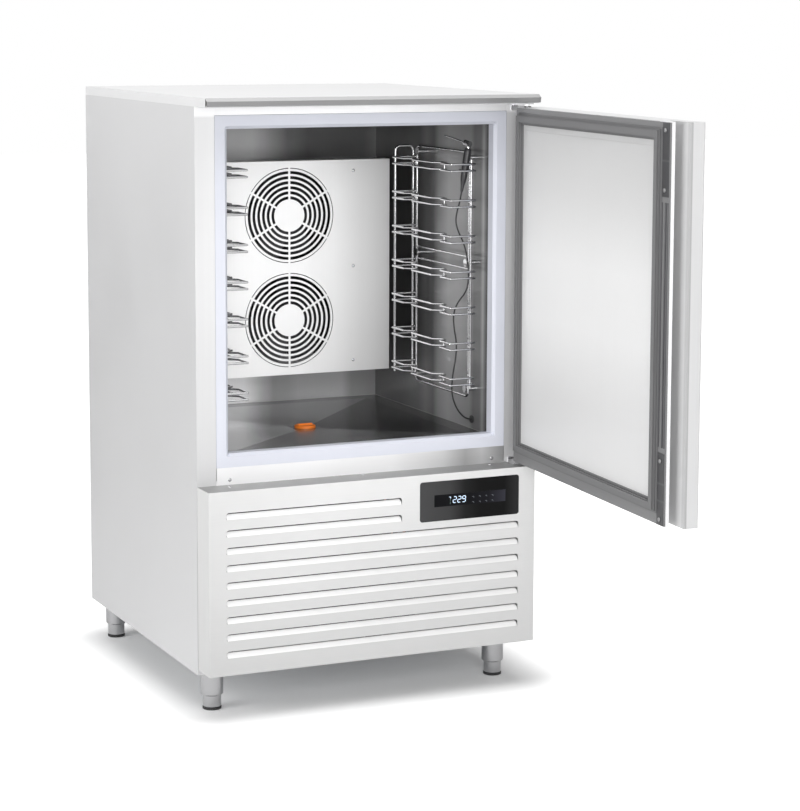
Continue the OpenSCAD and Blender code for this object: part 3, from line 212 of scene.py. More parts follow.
# painted light, shade and reflections: how light and dark run over the sheets, as the studio's
# bright and dark panels lie on them; each ramp's axis, the two places in millimetres that it lies
# between, and its grey stops
toneRamps = {
    # painted reflections and shade on the chamber's back wall, below and above the evaporator
    # cover, and on its side walls
    "linerBack": {
        "axis": "x", "span": (-331, 331),
        "stops": [(0.0, 1.5), (0.46, 1.5), (0.53, 0.8), (0.58, 0.48), (0.64, 0.52), (0.68, 0.6),
                  (0.8, 0.62), (0.86, 0.62), (0.9, 0.4), (1.0, 0.34)]},
    "linerHigh": {
        "axis": "x", "span": (-331, 331),
        "stops": [(0.0, 0.8), (0.5, 0.8), (0.57, 0.5), (0.64, 0.22), (0.72, 0.1), (0.95, 0.08),
                  (1.0, 0.14)]},
    "linerAboveCover": {
        "axis": "z", "span": (560, 1290),
        "stops": [(0.0, 0.0), (0.80, 0.0), (0.84, 1.0), (1.0, 1.0)]},
    "linerSide": {
        "axis": "y", "span": (0, 680),
        "stops": [(0.0, 0.08), (0.07, 0.05), (0.095, 0.30), (0.11, 0.55), (0.13, 0.28),
                  (0.18, 0.28), (0.21, 0.50), (0.30, 0.65), (0.38, 0.75), (0.46, 0.55),
                  (0.50, 0.26), (0.56, 0.32), (0.62, 0.20), (0.75, 0.14), (1.0, 0.12)]},
    # painted reflections on the chamber floor, darker towards the right
    "floorAlong": {
        "axis": "x", "span": (-331, 331),
        "stops": [(0.0, 1.3), (0.25, 1.0), (0.36, 0.66), (0.6, 0.66), (0.8, 0.5), (1.0, 0.4)]},
    # painted reflections down the door's inner panel, brightest a little below its middle
    "innerDoor": {
        "axis": "z", "span": (540, 1300),
        "stops": [(0.0, 0.90), (0.2, 0.93), (0.42, 1.06), (0.6, 1.03), (0.8, 0.86), (1.0, 0.74)]},
    # painted light on the louvre panel, lighter upward and to the right
    "louvreUpward": {
        "axis": "z", "span": (100, 508),
        "stops": [(0.0, 0.90), (0.45, 1.0), (1.0, 1.06)]},
    "louvreAcross": {
        "axis": "x", "span": (-395, 395),
        "stops": [(0.0, 0.94), (0.3, 1.0), (1.0, 1.08)]},
    # painted reflection across the control glass: bright at its left end, dark to the right,
    # lighter again at its right end
    "glass": {
        "axis": "x", "span": (106, 353),
        "stops": [(0.0, 1.35), (0.3, 1.0), (0.45, 0.3), (0.6, 0.12), (0.85, 0.12), (1.0, 0.6)]},
    # painted reflection on the display window, brightening towards its right end
    "displayWindow": {
        "axis": "x", "span": (141, 319),
        "stops": [(0.0, 0.25), (0.5, 0.35), (0.75, 0.6), (0.9, 1.6), (1.0, 2.4)]},
    # painted light and shade on the portal: across it, and lighter in the band under the nose
    "portalAcross": {
        "axis": "x", "span": (-395, 395),
        "stops": [(0.0, 0.86), (0.12, 0.90), (0.5, 0.94), (0.86, 0.84), (0.95, 0.80),
                  (0.985, 0.9)]},
    "portalBand": {
        "axis": "z", "span": (1290, 1312),
        "stops": [(0.0, 1.0), (0.7, 1.0), (1.0, 1.33)]},
    # painted light and shade along the sill rail, darker towards its right end
    "rail": {
        "axis": "x", "span": (-350, 350),
        "stops": [(0.0, 1.12), (0.35, 1.14), (0.6, 1.1), (0.78, 0.82), (0.86, 0.52), (0.92, 0.72),
                  (1.0, 0.42)]},
    # painted shade on the evaporator cover, darker towards its right side
    "cover": {
        "axis": "x", "span": (-260, 260),
        "stops": [(0.0, 0.98), (0.25, 1.03), (0.55, 1.0), (0.72, 0.88), (0.85, 0.72),
                  (1.0, 0.58)]},
    # painted light and shade on the breaker frame, lighter at its bottom and darker at its top
    "breaker": {
        "axis": "z", "span": (546, 1311),
        "stops": [(0.0, 1.12), (0.3, 1.0), (0.8, 0.97), (1.0, 0.84)]},
    # painted shade on the grip's lip and a painted reflection in its groove
    "gripEdge": {
        "axis": "x", "span": (290, 390),
        "stops": [(0.0, 0.42), (0.365, 0.42), (0.48, 0.6), (0.52, 0.5), (0.53, 0.80),
                  (1.0, 0.82)]},
    "gripGroove": {
        "axis": "x", "span": (290, 390),
        "stops": [(0.0, 1.0), (0.44, 1.0), (0.48, 0.6), (0.52, 0.5), (0.53, 0.80), (1.0, 0.82)]},
    "gripDepth": {
        "axis": "y", "span": (-809, -780),
        "stops": [(0.0, 0.0), (0.25, 0.0), (0.35, 1.0), (1.0, 1.0)]},
    # painted highlights: three narrow bright lines at seams of the grip plates
    "plateSeams": {
        "axis": "z", "span": (500, 1320),
        "stops": [(0.0, 1.0), (0.0770, 1.0), (0.0795, 2.6), (0.0820, 1.0), (0.1174, 1.0),
                  (0.1199, 2.6), (0.1224, 1.0), (0.9024, 1.0), (0.9049, 2.6), (0.9074, 1.0)]},
}
axisStart = {"x": cabinetX, "y": cabinetY, "z": 0}

# painted light and shade on the faces that turn away from the front, by the way they turn
floorSlopes = {"gain": 60.0, "front": 0.62, "back": 1.6, "left": 1.9, "right": 0.18}
louvreFaces = {"slopeGain": 4.0, "slope": 1.25, "topPower": 8, "top": 0.40}
noseFaces = {"gain": -1.3, "top": 1.0, "nose": 0.37}

# the Mix node keeps sockets of every kind: these are the places of its colours
mixFirst, mixSecond, mixResult = 6, 7, 2


def layRamp(tree, place, name):
    s = toneRamps[name]
    low, high = (axisStart[s["axis"]] + value * mm for value in s["span"])
    split = addNode(tree, "SeparateXYZ")
    tree.links.new(place, split.inputs[0])
    span = addNode(tree, "MapRange", {"From Min": low, "From Max": high})
    tree.links.new(split.outputs[s["axis"].upper()], span.inputs["Value"])
    ramp = addNode(tree, "ValToRGB")
    elements = ramp.color_ramp.elements
    while len(elements) < len(s["stops"]):
        elements.new(0.5)
    for element, (position, tone) in zip(elements, s["stops"]):
        element.position = position
        element.color = (tone, tone, tone, 1)
    tree.links.new(span.outputs["Result"], ramp.inputs["Fac"])
    return ramp.outputs["Color"]


def faceMask(tree, axis, gain, bothWays=False, flat=False):
    # how far a face looks along one axis, times the gain and kept between 0 and 1
    if flat:
        facing = addNode(tree, "NewGeometry").outputs["True Normal"]
    else:
        facing = addNode(tree, "TexCoord").outputs["Normal"]
    split = addNode(tree, "SeparateXYZ")
    tree.links.new(facing, split.inputs[0])
    value = split.outputs[axis.upper()]
    if bothWays:
        value = mathNode(tree, "ABSOLUTE", value, 0)
    return mathNode(tree, "MULTIPLY", value, gain, clamp=True)


def mixTones(tree, mask, first, second):
    mix = addNode(tree, "Mix", data_type="RGBA")
    tree.links.new(mask, mix.inputs["Factor"])
    for place, tone in ((mixFirst, first), (mixSecond, second)):
        if isinstance(tone, (int, float)):
            mix.inputs[place].default_value = (tone, tone, tone, 1)
        else:
            tree.links.new(tone, mix.inputs[place])
    return mix.outputs[mixResult]


def linerTone(tree, place):
    # painted reflections and shade on the chamber's walls: bands across the back wall, other bands
    # above the evaporator cover, and bands along the side walls
    low, high, above, side = (
        layRamp(tree, place, name)
        for name in ("linerBack", "linerHigh", "linerAboveCover", "linerSide"))
    return mixTones(tree, faceMask(tree, "x", 1.0, bothWays=True),
                    mixTones(tree, above, low, high), side)


def floorTone(tree, place):
    # painted reflections and shade on the four slopes of the chamber floor, each slope with a tone
    # of its own, times a painted shading along x
    s = floorSlopes
    tone = mixTones(tree, faceMask(tree, "y", -s["gain"], flat=True), s["front"], s["back"])
    tone = mixTones(tree, faceMask(tree, "x", s["gain"], flat=True), tone, s["left"])
    tone = mixTones(tree, faceMask(tree, "x", -s["gain"], flat=True), tone, s["right"])
    return multiplied(tree, layRamp(tree, place, "floorAlong"), tone)


def louvreTone(tree, place):
    # painted light and shade: the pressed slopes are painted lighter, as they catch the light from
    # above, and the flat top painted darker, as it lies in the cabinet's shade
    s = louvreFaces
    plain = multiplied(tree, layRamp(tree, place, "louvreUpward"),
                       layRamp(tree, place, "louvreAcross"))
    slopes = mixTones(tree, faceMask(tree, "z", s["slopeGain"]), plain, s["slope"])
    top = mathNode(tree, "POWER", faceMask(tree, "z", 1.0), s["topPower"])
    return mixTones(tree, top, slopes, s["top"])


def noseTone(tree, place):
    # painted light and shade: the top lies bright, the pointed nose below it painted in shade
    s = noseFaces
    return mixTones(tree, faceMask(tree, "y", s["gain"]), s["top"], s["nose"])


def portalTone(tree, place):
    # painted light and shade across the portal; the band under the nose lies in its shade, so it's
    # painted lighter than the posts
    return multiplied(tree, layRamp(tree, place, "portalAcross"),
                      layRamp(tree, place, "portalBand"))


def gripTone(tree, place):
    # painted shade and reflection across the open door's edge: the lip painted dark, with a tone
    # of its own for the deep part of the groove, painted bright as a reflection of the studio
    edge, groove, deep = (layRamp(tree, place, name)
                          for name in ("gripEdge", "gripGroove", "gripDepth"))
    return mixTones(tree, deep, edge, groove)


mixedTones = {"liner": linerTone, "floor": floorTone, "louvre": louvreTone, "nose": noseTone,
              "portal": portalTone, "grip": gripTone}


def toneColor(tree, place, groupNode, color, tone):
    # the finish's colour, times the painted light and shade of the place if it has one
    groupNode.inputs["Color"].default_value = (*color, 1)
    if tone:
        shade = mixedTones[tone](tree, place) if tone in mixedTones else layRamp(tree, place, tone)
        node = addNode(tree, "VectorMath", operation="MULTIPLY")
        node.inputs[0].default_value = color
        tree.links.new(shade, node.inputs[1])
        tree.links.new(node.outputs[0], groupNode.inputs["Color"])


def newMaterial(name):
    mat = bpy.data.materials.new(name)
    mat.use_nodes = True
    tree = mat.node_tree
    return mat, tree, tree.nodes["Principled BSDF"]


def linkGroup(tree, shader, groupNode, bump, distance, flat=False):
    link = tree.links.new
    link(groupNode.outputs["Color"], shader.inputs["Base Color"])
    link(groupNode.outputs["Roughness"], shader.inputs["Roughness"])
    if bump:
        bumpNode = addNode(tree, "Bump", {"Strength": bump, "Distance": distance})
        link(groupNode.outputs["Height"], bumpNode.inputs["Height"])
        if flat:
            link(addNode(tree, "NewGeometry").outputs["True Normal"], bumpNode.inputs["Normal"])
        link(bumpNode.outputs["Normal"], shader.inputs["Normal"])


def metalFinish(name, color, lines, metallic=1.0, roughness=0.3, lineDepth=0.05, cloudDepth=0.05,
                spread=0.1, bump=0.04, tone=None, flat=False):
    # lines: how dense the brushing is along x, y and z; the low number is the way it runs
    mat, tree, shader = newMaterial(name)
    place = addNode(tree, "TexCoord").outputs["Object"]
    mapping = addNode(tree, "Mapping", {"Scale": lines})
    tree.links.new(place, mapping.inputs["Vector"])
    brushed = addNode(tree, "Group", node_tree=brushedLines)
    tree.links.new(mapping.outputs["Vector"], brushed.inputs["Lines"])
    tree.links.new(place, brushed.inputs["Place"])
    for key, value in (("Line Depth", lineDepth), ("Cloud Depth", cloudDepth),
                       ("Roughness", roughness), ("Roughness Spread", spread)):
        brushed.inputs[key].default_value = value
    toneColor(tree, place, brushed, color, tone)
    shader.inputs["Metallic"].default_value = metallic
    linkGroup(tree, shader, brushed, bump, brushingDepth, flat)
    return mat


def mouldedFinish(name, color, roughness=0.5, grain=900.0, toneDepth=0.08, spread=0.1, bump=0.1,
                  specular=0.5, tone=None):
    mat, tree, shader = newMaterial(name)
    place = addNode(tree, "TexCoord").outputs["Object"]
    skin = addNode(tree, "Group", node_tree=mouldedGrain)
    tree.links.new(place, skin.inputs["Place"])
    for key, value in (("Grain", grain), ("Tone Depth", toneDepth), ("Roughness", roughness),
                       ("Roughness Spread", spread)):
        skin.inputs[key].default_value = value
    toneColor(tree, place, skin, color, tone)
    shader.inputs["Specular IOR Level"].default_value = specular
    linkGroup(tree, shader, skin, bump, grainDepth)
    return mat


def glowFinish(name, color, strength, roughness=0.4):
    mat, tree, shader = newMaterial(name)
    shader.inputs["Base Color"].default_value = (*color, 1)
    shader.inputs["Emission Color"].default_value = (*color, 1)
    shader.inputs["Emission Strength"].default_value = strength
    shader.inputs["Roughness"].default_value = roughness
    return mat


# brushing that runs up and down or across, and the fine turning marks of small parts
upright, across = (700, 700, 2), (2, 700, 700)
uprightInside, acrossInside = (500, 500, 2), (2, 500, 500)
turned = (300, 300, 300)

metals = {
    "bodySteel": {"color": (0.69, 0.69, 0.695), "lines": upright, "metallic": 0.35,
                  "roughness": 0.40},
    "doorSteel": {"color": (0.74, 0.74, 0.745), "lines": upright, "metallic": 0.6,
                  "roughness": 0.34},
    "gripSteel": {"color": (0.97, 0.97, 0.975), "lines": uprightInside, "metallic": 0.15,
                  "roughness": 0.35, "spread": 0.06, "bump": 0.02, "tone": "grip"},
    "worktopSteel": {"color": (0.82, 0.82, 0.825), "lines": across, "metallic": 0.4,
                     "roughness": 0.34, "tone": "nose"},
    "portalSteel": {"color": (0.78, 0.78, 0.785), "lines": upright, "metallic": 0.4,
                    "roughness": 0.40, "tone": "portal"},
    "railSteel": {"color": (0.84, 0.84, 0.845), "lines": across, "metallic": 0.4,
                  "roughness": 0.36, "tone": "rail"},
    "louvreSteel": {"color": (0.76, 0.76, 0.757), "lines": across, "metallic": 0.35,
                    "roughness": 0.40, "tone": "louvre"},
    "coverSteel": {"color": (0.95, 0.95, 0.95), "lines": upright, "metallic": 0.15,
                   "roughness": 0.40, "tone": "cover"},
    "innerDoorSteel": {"color": (0.80, 0.80, 0.80), "lines": upright, "metallic": 0.18,
                       "roughness": 0.42, "tone": "innerDoor"},
    "linerSteel": {"color": (0.62, 0.62, 0.625), "lines": uprightInside, "metallic": 0.25,
                   "roughness": 0.24, "lineDepth": 0.08, "cloudDepth": 0.10, "spread": 0.08,
                   "bump": 0.02, "tone": "liner"},
    "floorSteel": {"color": (0.52, 0.52, 0.525), "lines": acrossInside, "metallic": 0.85,
                   "roughness": 0.22, "lineDepth": 0.08, "cloudDepth": 0.10, "spread": 0.08,
                   "bump": 0.02, "tone": "floor", "flat": True},
    "wireSteel": {"color": (0.72, 0.72, 0.73), "lines": (60, 60, 60), "roughness": 0.14,
                  "spread": 0.06, "bump": 0.0},
    "screwSteel": {"color": (0.55, 0.55, 0.56), "lines": turned, "roughness": 0.24,
                   "lineDepth": 0.10, "spread": 0.08, "bump": 0.0},
    "dullSteel": {"color": (0.34, 0.34, 0.345), "lines": turned, "metallic": 0.5,
                  "roughness": 0.38, "lineDepth": 0.10, "spread": 0.08, "bump": 0.0},
    "galvanised": {"color": (0.62, 0.64, 0.66), "lines": (60, 60, 60), "metallic": 0.9,
                   "roughness": 0.42, "lineDepth": 0.16, "cloudDepth": 0.20, "spread": 0.15,
                   "bump": 0.02},
    "copperTube": {"color": (0.72, 0.38, 0.22), "lines": (80, 80, 80), "roughness": 0.28,
                   "lineDepth": 0.15, "cloudDepth": 0.25},
}
moulded = {
    # black for the painted shade of the coils' fins, which lie dark behind the grilles and louvres
    "shadedFins": {"color": (0.012, 0.012, 0.013), "grain": 500.0},
    "framePlastic": {"color": (0.62, 0.635, 0.70), "roughness": 0.45, "tone": "breaker"},
    "flangePlastic": {"color": (0.20, 0.20, 0.203), "roughness": 0.45},
    "gasketRubber": {"color": (0.16, 0.16, 0.163), "roughness": 0.6},
    "blackPlastic": {"color": (0.025, 0.025, 0.028), "roughness": 0.4},
    "platePlastic": {"color": (0.055, 0.055, 0.058), "roughness": 0.42, "tone": "plateSeams"},
    "channelPlastic": {"color": (0.085, 0.085, 0.09), "roughness": 0.42},
    "blackRubber": {"color": (0.022, 0.022, 0.023), "roughness": 0.65},
    "orangeRubber": {"color": (0.85, 0.22, 0.02), "roughness": 0.45},
    "glossBlack": {"color": (0.05, 0.05, 0.051), "roughness": 0.3, "grain": 30.0,
                   "toneDepth": 0.1, "spread": 0.03, "bump": 0.0, "specular": 0.12,
                   "tone": "glass"},
    "displayDark": {"color": (0.016, 0.016, 0.021), "roughness": 0.3, "grain": 30.0,
                    "toneDepth": 0.1, "spread": 0.02, "bump": 0.0, "specular": 0.12,
                    "tone": "displayWindow"},
    # black paint on the machinery, and painted shade: the fan frame and the spaces behind the
    # grilles and louvres made dark
    "blackPaintAndShade": {"color": (0.02, 0.02, 0.022), "roughness": 0.3, "grain": 400.0},
    "paleFoam": {"color": (0.30, 0.30, 0.285), "roughness": 0.9, "grain": 500.0,
                 "toneDepth": 0.2, "bump": 0.5},
    "greyPipe": {"color": (0.25, 0.25, 0.26)},
    "iconGrey": {"color": (0.14, 0.15, 0.17), "grain": 300.0},
}
glows = {
    "figureGlow": {"color": (0.62, 0.76, 0.92), "strength": 0.75},
    "figureDim": {"color": (0.16, 0.24, 0.22), "strength": 0.5},
}

finishes = {}
for makeFinish, table in ((metalFinish, metals), (mouldedFinish, moulded), (glowFinish, glows)):
    for finishName, finishSettings in table.items():
        finishes[finishName] = makeFinish(finishName, **finishSettings)

nodeFinishes = {
    "bodySteel": ["left_side_panel", "right_side_panel"],
    "galvanised": ["back_panel", "base_tray", "electrical_box"],
    "worktopSteel": ["worktop"],
    "portalSteel": ["front_fascia"],
    "railSteel": ["sill_rail"],
    "framePlastic": ["breaker_frame"],
    "linerSteel": ["chamber_liner"],
    "floorSteel": ["drain_floor"],
    "paleFoam": ["cabinet_foam", "door_foam"],
    "greyPipe": ["drain_pipe"],
    "coverSteel": ["evaporator_cover"],
    # the coils' fins black as painted shade; black paint on the machinery, partly painted shade of
    # the dark spaces behind grilles and louvres
    "shadedFins": ["evaporator_coil", "condenser_coil"],
    "blackPaintAndShade": ["upper_fan_motor", "lower_fan_motor", "compressor", "condenser_motor",
                     "liquid_receiver", "fan_frame", "condenser_shroud"],
    "wireSteel": ["left_tray_rack", "right_tray_rack", "rack_studs", "probe_needle", "top_hinge",
                  "bottom_hinge"],
    "blackPlastic": ["probe_handle", "control_housing", "mains_gland", "door_bushes",
                     "upper_fan_rotor", "lower_fan_rotor", "condenser_rotor"],
    "blackRubber": ["cable_grommet", "compressor_mounts", "front_left_pad", "front_right_pad",
                    "rear_left_pad", "rear_right_pad", "probe_cable"],
    "louvreSteel": ["louvre_panel"],
    "glossBlack": ["control_glass"],
    "copperTube": ["filter_drier", "refrigerant_pipes"],
    "screwSteel": ["foot_sleeves", "front_left_foot", "front_right_foot", "rear_left_foot",
                   "rear_right_foot"],
    "doorSteel": ["door_skin"],
    "gripSteel": ["grip_profile"],
    "flangePlastic": ["door_frame"],
    "innerDoorSteel": ["door_panel"],
    "gasketRubber": ["door_gasket"],
    "platePlastic": ["grip_plates"],
    "orangeRubber": ["drain_plug"],
}

for finishName, members in nodeFinishes.items():
    for member in members:
        part = nodes[member]
        part.data.materials.clear()
        part.data.materials.append(finishes[finishName])
print("finishes:", len(finishes))


# steps of modelling that several pieces share
smoothAngle = math.radians(35)


def finishPiece(obj, name, finish, body):
    deselectAll()
    bpy.context.view_layer.objects.active = obj
    obj.select_set(True)
    bpy.ops.object.transform_apply(location=True, rotation=True, scale=True)
    obj.name = name
    obj.data.name = name
    obj.data.materials.clear()
    obj.data.materials.append(finishes[finish])
    bpy.ops.object.shade_smooth_by_angle(angle=smoothAngle)
    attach(obj, body)
    return obj


def applyModifier(obj, kind, **settings):
    bpy.context.view_layer.objects.active = obj
    modifier = obj.modifiers.new(kind.lower(), kind)
    for key, value in settings.items():
        setattr(modifier, key, value)
    bpy.ops.object.modifier_apply(modifier=modifier.name)


def copyOf(model):
    # a copy with its own mesh
    deselectAll()
    model.select_set(True)
    bpy.context.view_layer.objects.active = model
    bpy.ops.object.duplicate(linked=False)
    return bpy.context.object


# the probe's cable, from the handle down to the grommet in the right wall
cable = {
    "diameter": 3.5,
    "length": 0.621,
    "order": 3,
    "steps": 8,
    "roundness": 5,
    "route": [
        (283, 92, 1124), (280, 92, 1104), (272, 91, 1082), (267, 90, 1058), (273, 89, 1034),
        (286, 88, 1010), (296, 88, 978), (300, 88, 945), (300, 88, 914), (293, 88, 891),
        (274, 88, 872), (262, 88, 846), (264, 88, 811), (271, 88, 778), (270, 88, 744),
        (263, 88, 712), (260, 90, 678), (264, 94, 650), (277, 102, 625), (296, 115, 604),
        (314, 123, 592), (328, 126, 589),
    ],
}


def makeCable(s):
    curve = bpy.data.curves.new("probeCable", "CURVE")
    curve.dimensions = "3D"
    curve.bevel_depth = s["diameter"] / 2 * mm
    curve.bevel_resolution = s["roundness"]
    curve.use_fill_caps = True
    spline = curve.splines.new("NURBS")
    spline.points.add(len(s["route"]) - 1)
    for point, at in zip(spline.points, s["route"]):
        point.co = (*spot(*at), 1)
    spline.order_u = s["order"]
    spline.use_endpoint_u = True
    spline.resolution_u = s["steps"]
    piece = bpy.data.objects.new("probeCable", curve)
    scene.collection.objects.link(piece)
    curve.materials.append(finishes["blackRubber"])
    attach(piece, "cabinet")
    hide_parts("probe_cable")


makeCable(cable)
print("cable made")


# floor, world and lamps; for the camera the floor grows white away from the cabinet's footprint
stageSettings = {
    "size": 40,
    "floorColor": (0.93, 0.93, 0.93), "floorRoughness": 0.9,
    "middle": (0, 345, 0), "footprint": (0.36, 0.36, 1.0),
    "liftNear": 0.07, "liftFar": 1.0, "liftWide": 0.24,
    "worldLight": 0.26,
    "worldShine": 1.0,
}


def makeFloor(s):
    deselectAll()
    bpy.ops.mesh.primitive_plane_add(size=s["size"], location=(0, 0, 0))
    floor = bpy.context.object
    floor.name = "studioFloor"
    mat, tree, shader = newMaterial("floorPaper")
    shader.inputs["Base Color"].default_value = (*s["floorColor"], 1)
    shader.inputs["Roughness"].default_value = s["floorRoughness"]
    shader.inputs["Specular IOR Level"].default_value = 0.0
    # how far a place of the floor lies outside the cabinet's footprint
    outside = addNode(tree, "TexCoord").outputs["Object"]
    for operation, value in (("SUBTRACT", spot(*s["middle"])), ("ABSOLUTE", None),
                             ("SUBTRACT", s["footprint"]), ("MAXIMUM", (0, 0, 0)),
                             ("LENGTH", None)):
        step = addNode(tree, "VectorMath", operation=operation)
        tree.links.new(outside, step.inputs[0])
        if value is not None:
            step.inputs[1].default_value = value
        outside = step.outputs["Value" if operation == "LENGTH" else "Vector"]
    reach = addNode(tree, "MapRange", {"From Max": s["liftWide"], "To Min": s["liftNear"],
                                       "To Max": s["liftFar"]}, interpolation_type="SMOOTHSTEP")
    tree.links.new(outside, reach.inputs["Value"])
    paths = addNode(tree, "LightPath")
    lift = mathNode(tree, "MULTIPLY", paths.outputs["Is Camera Ray"], reach.outputs["Result"])
    tree.links.new(lift, shader.inputs["Emission Strength"])
    shader.inputs["Emission Color"].default_value = (1, 1, 1, 1)
    floor.data.materials.append(mat)


def makeWorld(s):
    world = bpy.data.worlds.new("studioWorld")
    scene.world = world
    world.use_nodes = True
    tree = world.node_tree
    background = tree.nodes["Background"]
    paths = addNode(tree, "LightPath")
    seen = mathNode(tree, "MAXIMUM", paths.outputs["Is Camera Ray"],
                    paths.outputs["Is Glossy Ray"])
    seen = mathNode(tree, "MAXIMUM", seen, paths.outputs["Is Transmission Ray"])
    strength = addNode(tree, "MapRange", {"To Min": s["worldLight"], "To Max": s["worldShine"]})
    tree.links.new(seen, strength.inputs["Value"])
    background.inputs["Color"].default_value = (1, 1, 1, 1)
    tree.links.new(strength.outputs["Result"], background.inputs["Strength"])


# a lamp with a cone is a spot for the chamber; the others are square soft boxes
lamps = [
    {"name": "softTop", "at": (-300, -300, 4200), "aim": (0, 300, 700), "size": 3.4,
     "power": 60},
    {"name": "softLeft", "at": (-4600, -700, 1900), "aim": (-395, 300, 700), "size": 3.2,
     "power": 120},
    {"name": "softFront", "at": (-1300, -4800, 1900), "aim": (0, 300, 850), "size": 2.4,
     "power": 110},
    {"name": "chamberSpot", "at": (-1500, -4700, 1390), "aim": (-10, 300, 930), "size": 0.35,
     "power": 415, "cone": 10.4, "blend": 0.3},
]


def makeLamp(s):
    bpy.ops.object.light_add(type="SPOT" if "cone" in s else "AREA", location=spot(*s["at"]))
    lamp = bpy.context.object
    lamp.name = s["name"]
    lamp.data.energy = s["power"]
    if "cone" in s:
        lamp.data.spot_size = math.radians(s["cone"])
        lamp.data.spot_blend = s["blend"]
        lamp.data.shadow_soft_size = s["size"]
    else:
        lamp.data.shape = "SQUARE"
        lamp.data.size = s["size"]
    aim = spot(*s["aim"]) - spot(*s["at"])
    lamp.rotation_euler = aim.to_track_quat("-Z", "Y").to_euler()


makeFloor(stageSettings)
makeWorld(stageSettings)
for lampSettings in lamps:
    makeLamp(lampSettings)
scene.view_settings.view_transform = "Standard"
print("stage and lamps made")


# the door's places are those of the closed door; its pieces are then turned open
door = {
    "open": 86,
    "hinge": (384, -36, 0),
    "innerY": -12.5,
    "plateX": -349, "plateZ": (1303, 1185, 645, 527), "plateRise": 3.4,
    "stripX": (-363, -335),
}


def closedToOpen(obj):
    # turns a door piece from its closed place to where the door stands in the photograph
    deselectAll()
    obj.select_set(True)
    bpy.context.view_layer.objects.active = obj
    scene.cursor.location = spot(*door["hinge"])
    bpy.ops.object.origin_set(type="ORIGIN_CURSOR")
    obj.rotation_euler.z += math.radians(door["open"])
    bpy.ops.object.transform_apply(location=True, rotation=True, scale=True)


# screws: one pan head with a cross recess, copied to every place
screwSettings = {
    "headR": 4.2, "headH": 2.4, "sides": 28,
    "dome": 1.3, "domeSteps": 4,
    "slotL": 4.6, "slotW": 0.9, "slotDeep": 1.3, "slotTurn": 20,
}
screwPlaces = {
    "coverScrew": {"facing": "front",
                   "at": [(x, 440, z) for x in (-165, 165) for z in (1154, 925, 697)]},
    "railScrew": {"facing": "front", "at": [(-319, 0, 519), (319, 0, 519)]},
    "louvreScrew": {"facing": "up", "at": [(-327, -22, 508), (-7, -12, 508), (307, -15, 508)]},
}
turns = {"front": (90, 0, 0), "up": (0, 0, 0), "back": (-90, 0, 0)}
tiny = 1e-6


def makeScrewModel(s):
    deselectAll()
    bpy.ops.mesh.primitive_cylinder_add(
        vertices=s["sides"], radius=s["headR"] * mm, depth=s["headH"] * mm,
        location=(0, 0, s["headH"] / 2 * mm))
    head = bpy.context.object
    bpy.ops.object.mode_set(mode="EDIT")
    bpy.ops.mesh.select_all(action="DESELECT")
    bpy.ops.object.mode_set(mode="OBJECT")
    for edge in head.data.edges:
        ends = [head.data.vertices[v].co for v in edge.vertices]
        edge.select = all(end.z > s["headH"] / 2 * mm - tiny for end in ends)
    bpy.ops.object.mode_set(mode="EDIT")
    bpy.ops.mesh.select_mode(type="EDGE")
    bpy.ops.mesh.bevel(offset=s["dome"] * mm, segments=s["domeSteps"], affect="EDGES",
                       profile=0.5)
    bpy.ops.object.mode_set(mode="OBJECT")
    for turn in (s["slotTurn"], s["slotTurn"] + 90):
        bpy.ops.mesh.primitive_cube_add(size=1, location=(0, 0, s["headH"] * mm))
        cutter = bpy.context.object
        cutter.scale = (s["slotL"] * mm, s["slotW"] * mm, s["slotDeep"] * 2 * mm)
        cutter.rotation_euler = (0, 0, math.radians(turn))
        applyModifier(head, "BOOLEAN", object=cutter, operation="DIFFERENCE", solver="EXACT")
        bpy.data.objects.remove(cutter)
    return head


def placeScrew(model, name, finish, body, at, facing):
    screw = copyOf(model)
    screw.location = at
    screw.rotation_euler = tuple(math.radians(v) for v in turns[facing])
    return finishPiece(screw, name, finish, body)


screwModel = makeScrewModel(screwSettings)
for groupName, group in screwPlaces.items():
    for number, at in enumerate(group["at"], 1):
        placeScrew(screwModel, groupName + str(number), "screwSteel", "cabinet", spot(*at),
                   group["facing"])
for number, z in enumerate(door["plateZ"], 1):
    plateSpot = spot(door["plateX"], door["innerY"] + door["plateRise"], z)
    closedToOpen(placeScrew(screwModel, "plateScrew" + str(number), "dullSteel", "door",
                            plateSpot, "back"))
bpy.data.objects.remove(screwModel)
print("screws made")


# door gasket: a magnetic strip on its bellows; the profile's steps say how far it rises,
# then how far it draws in (+) or out (-) on both sides
gasket = {
    "x": (-335, 376), "z": (537, 1308), "width": 26, "clear": 0.2,
    "profile": ((2.6, 1.2), (0.5, 2.6), (1.6, 0.0), (0.5, -2.2), (2.2, 0.0), (0.5, 2.4),
                (1.0, 0.0), (0.4, -1.6), (1.6, 0.9)),
}


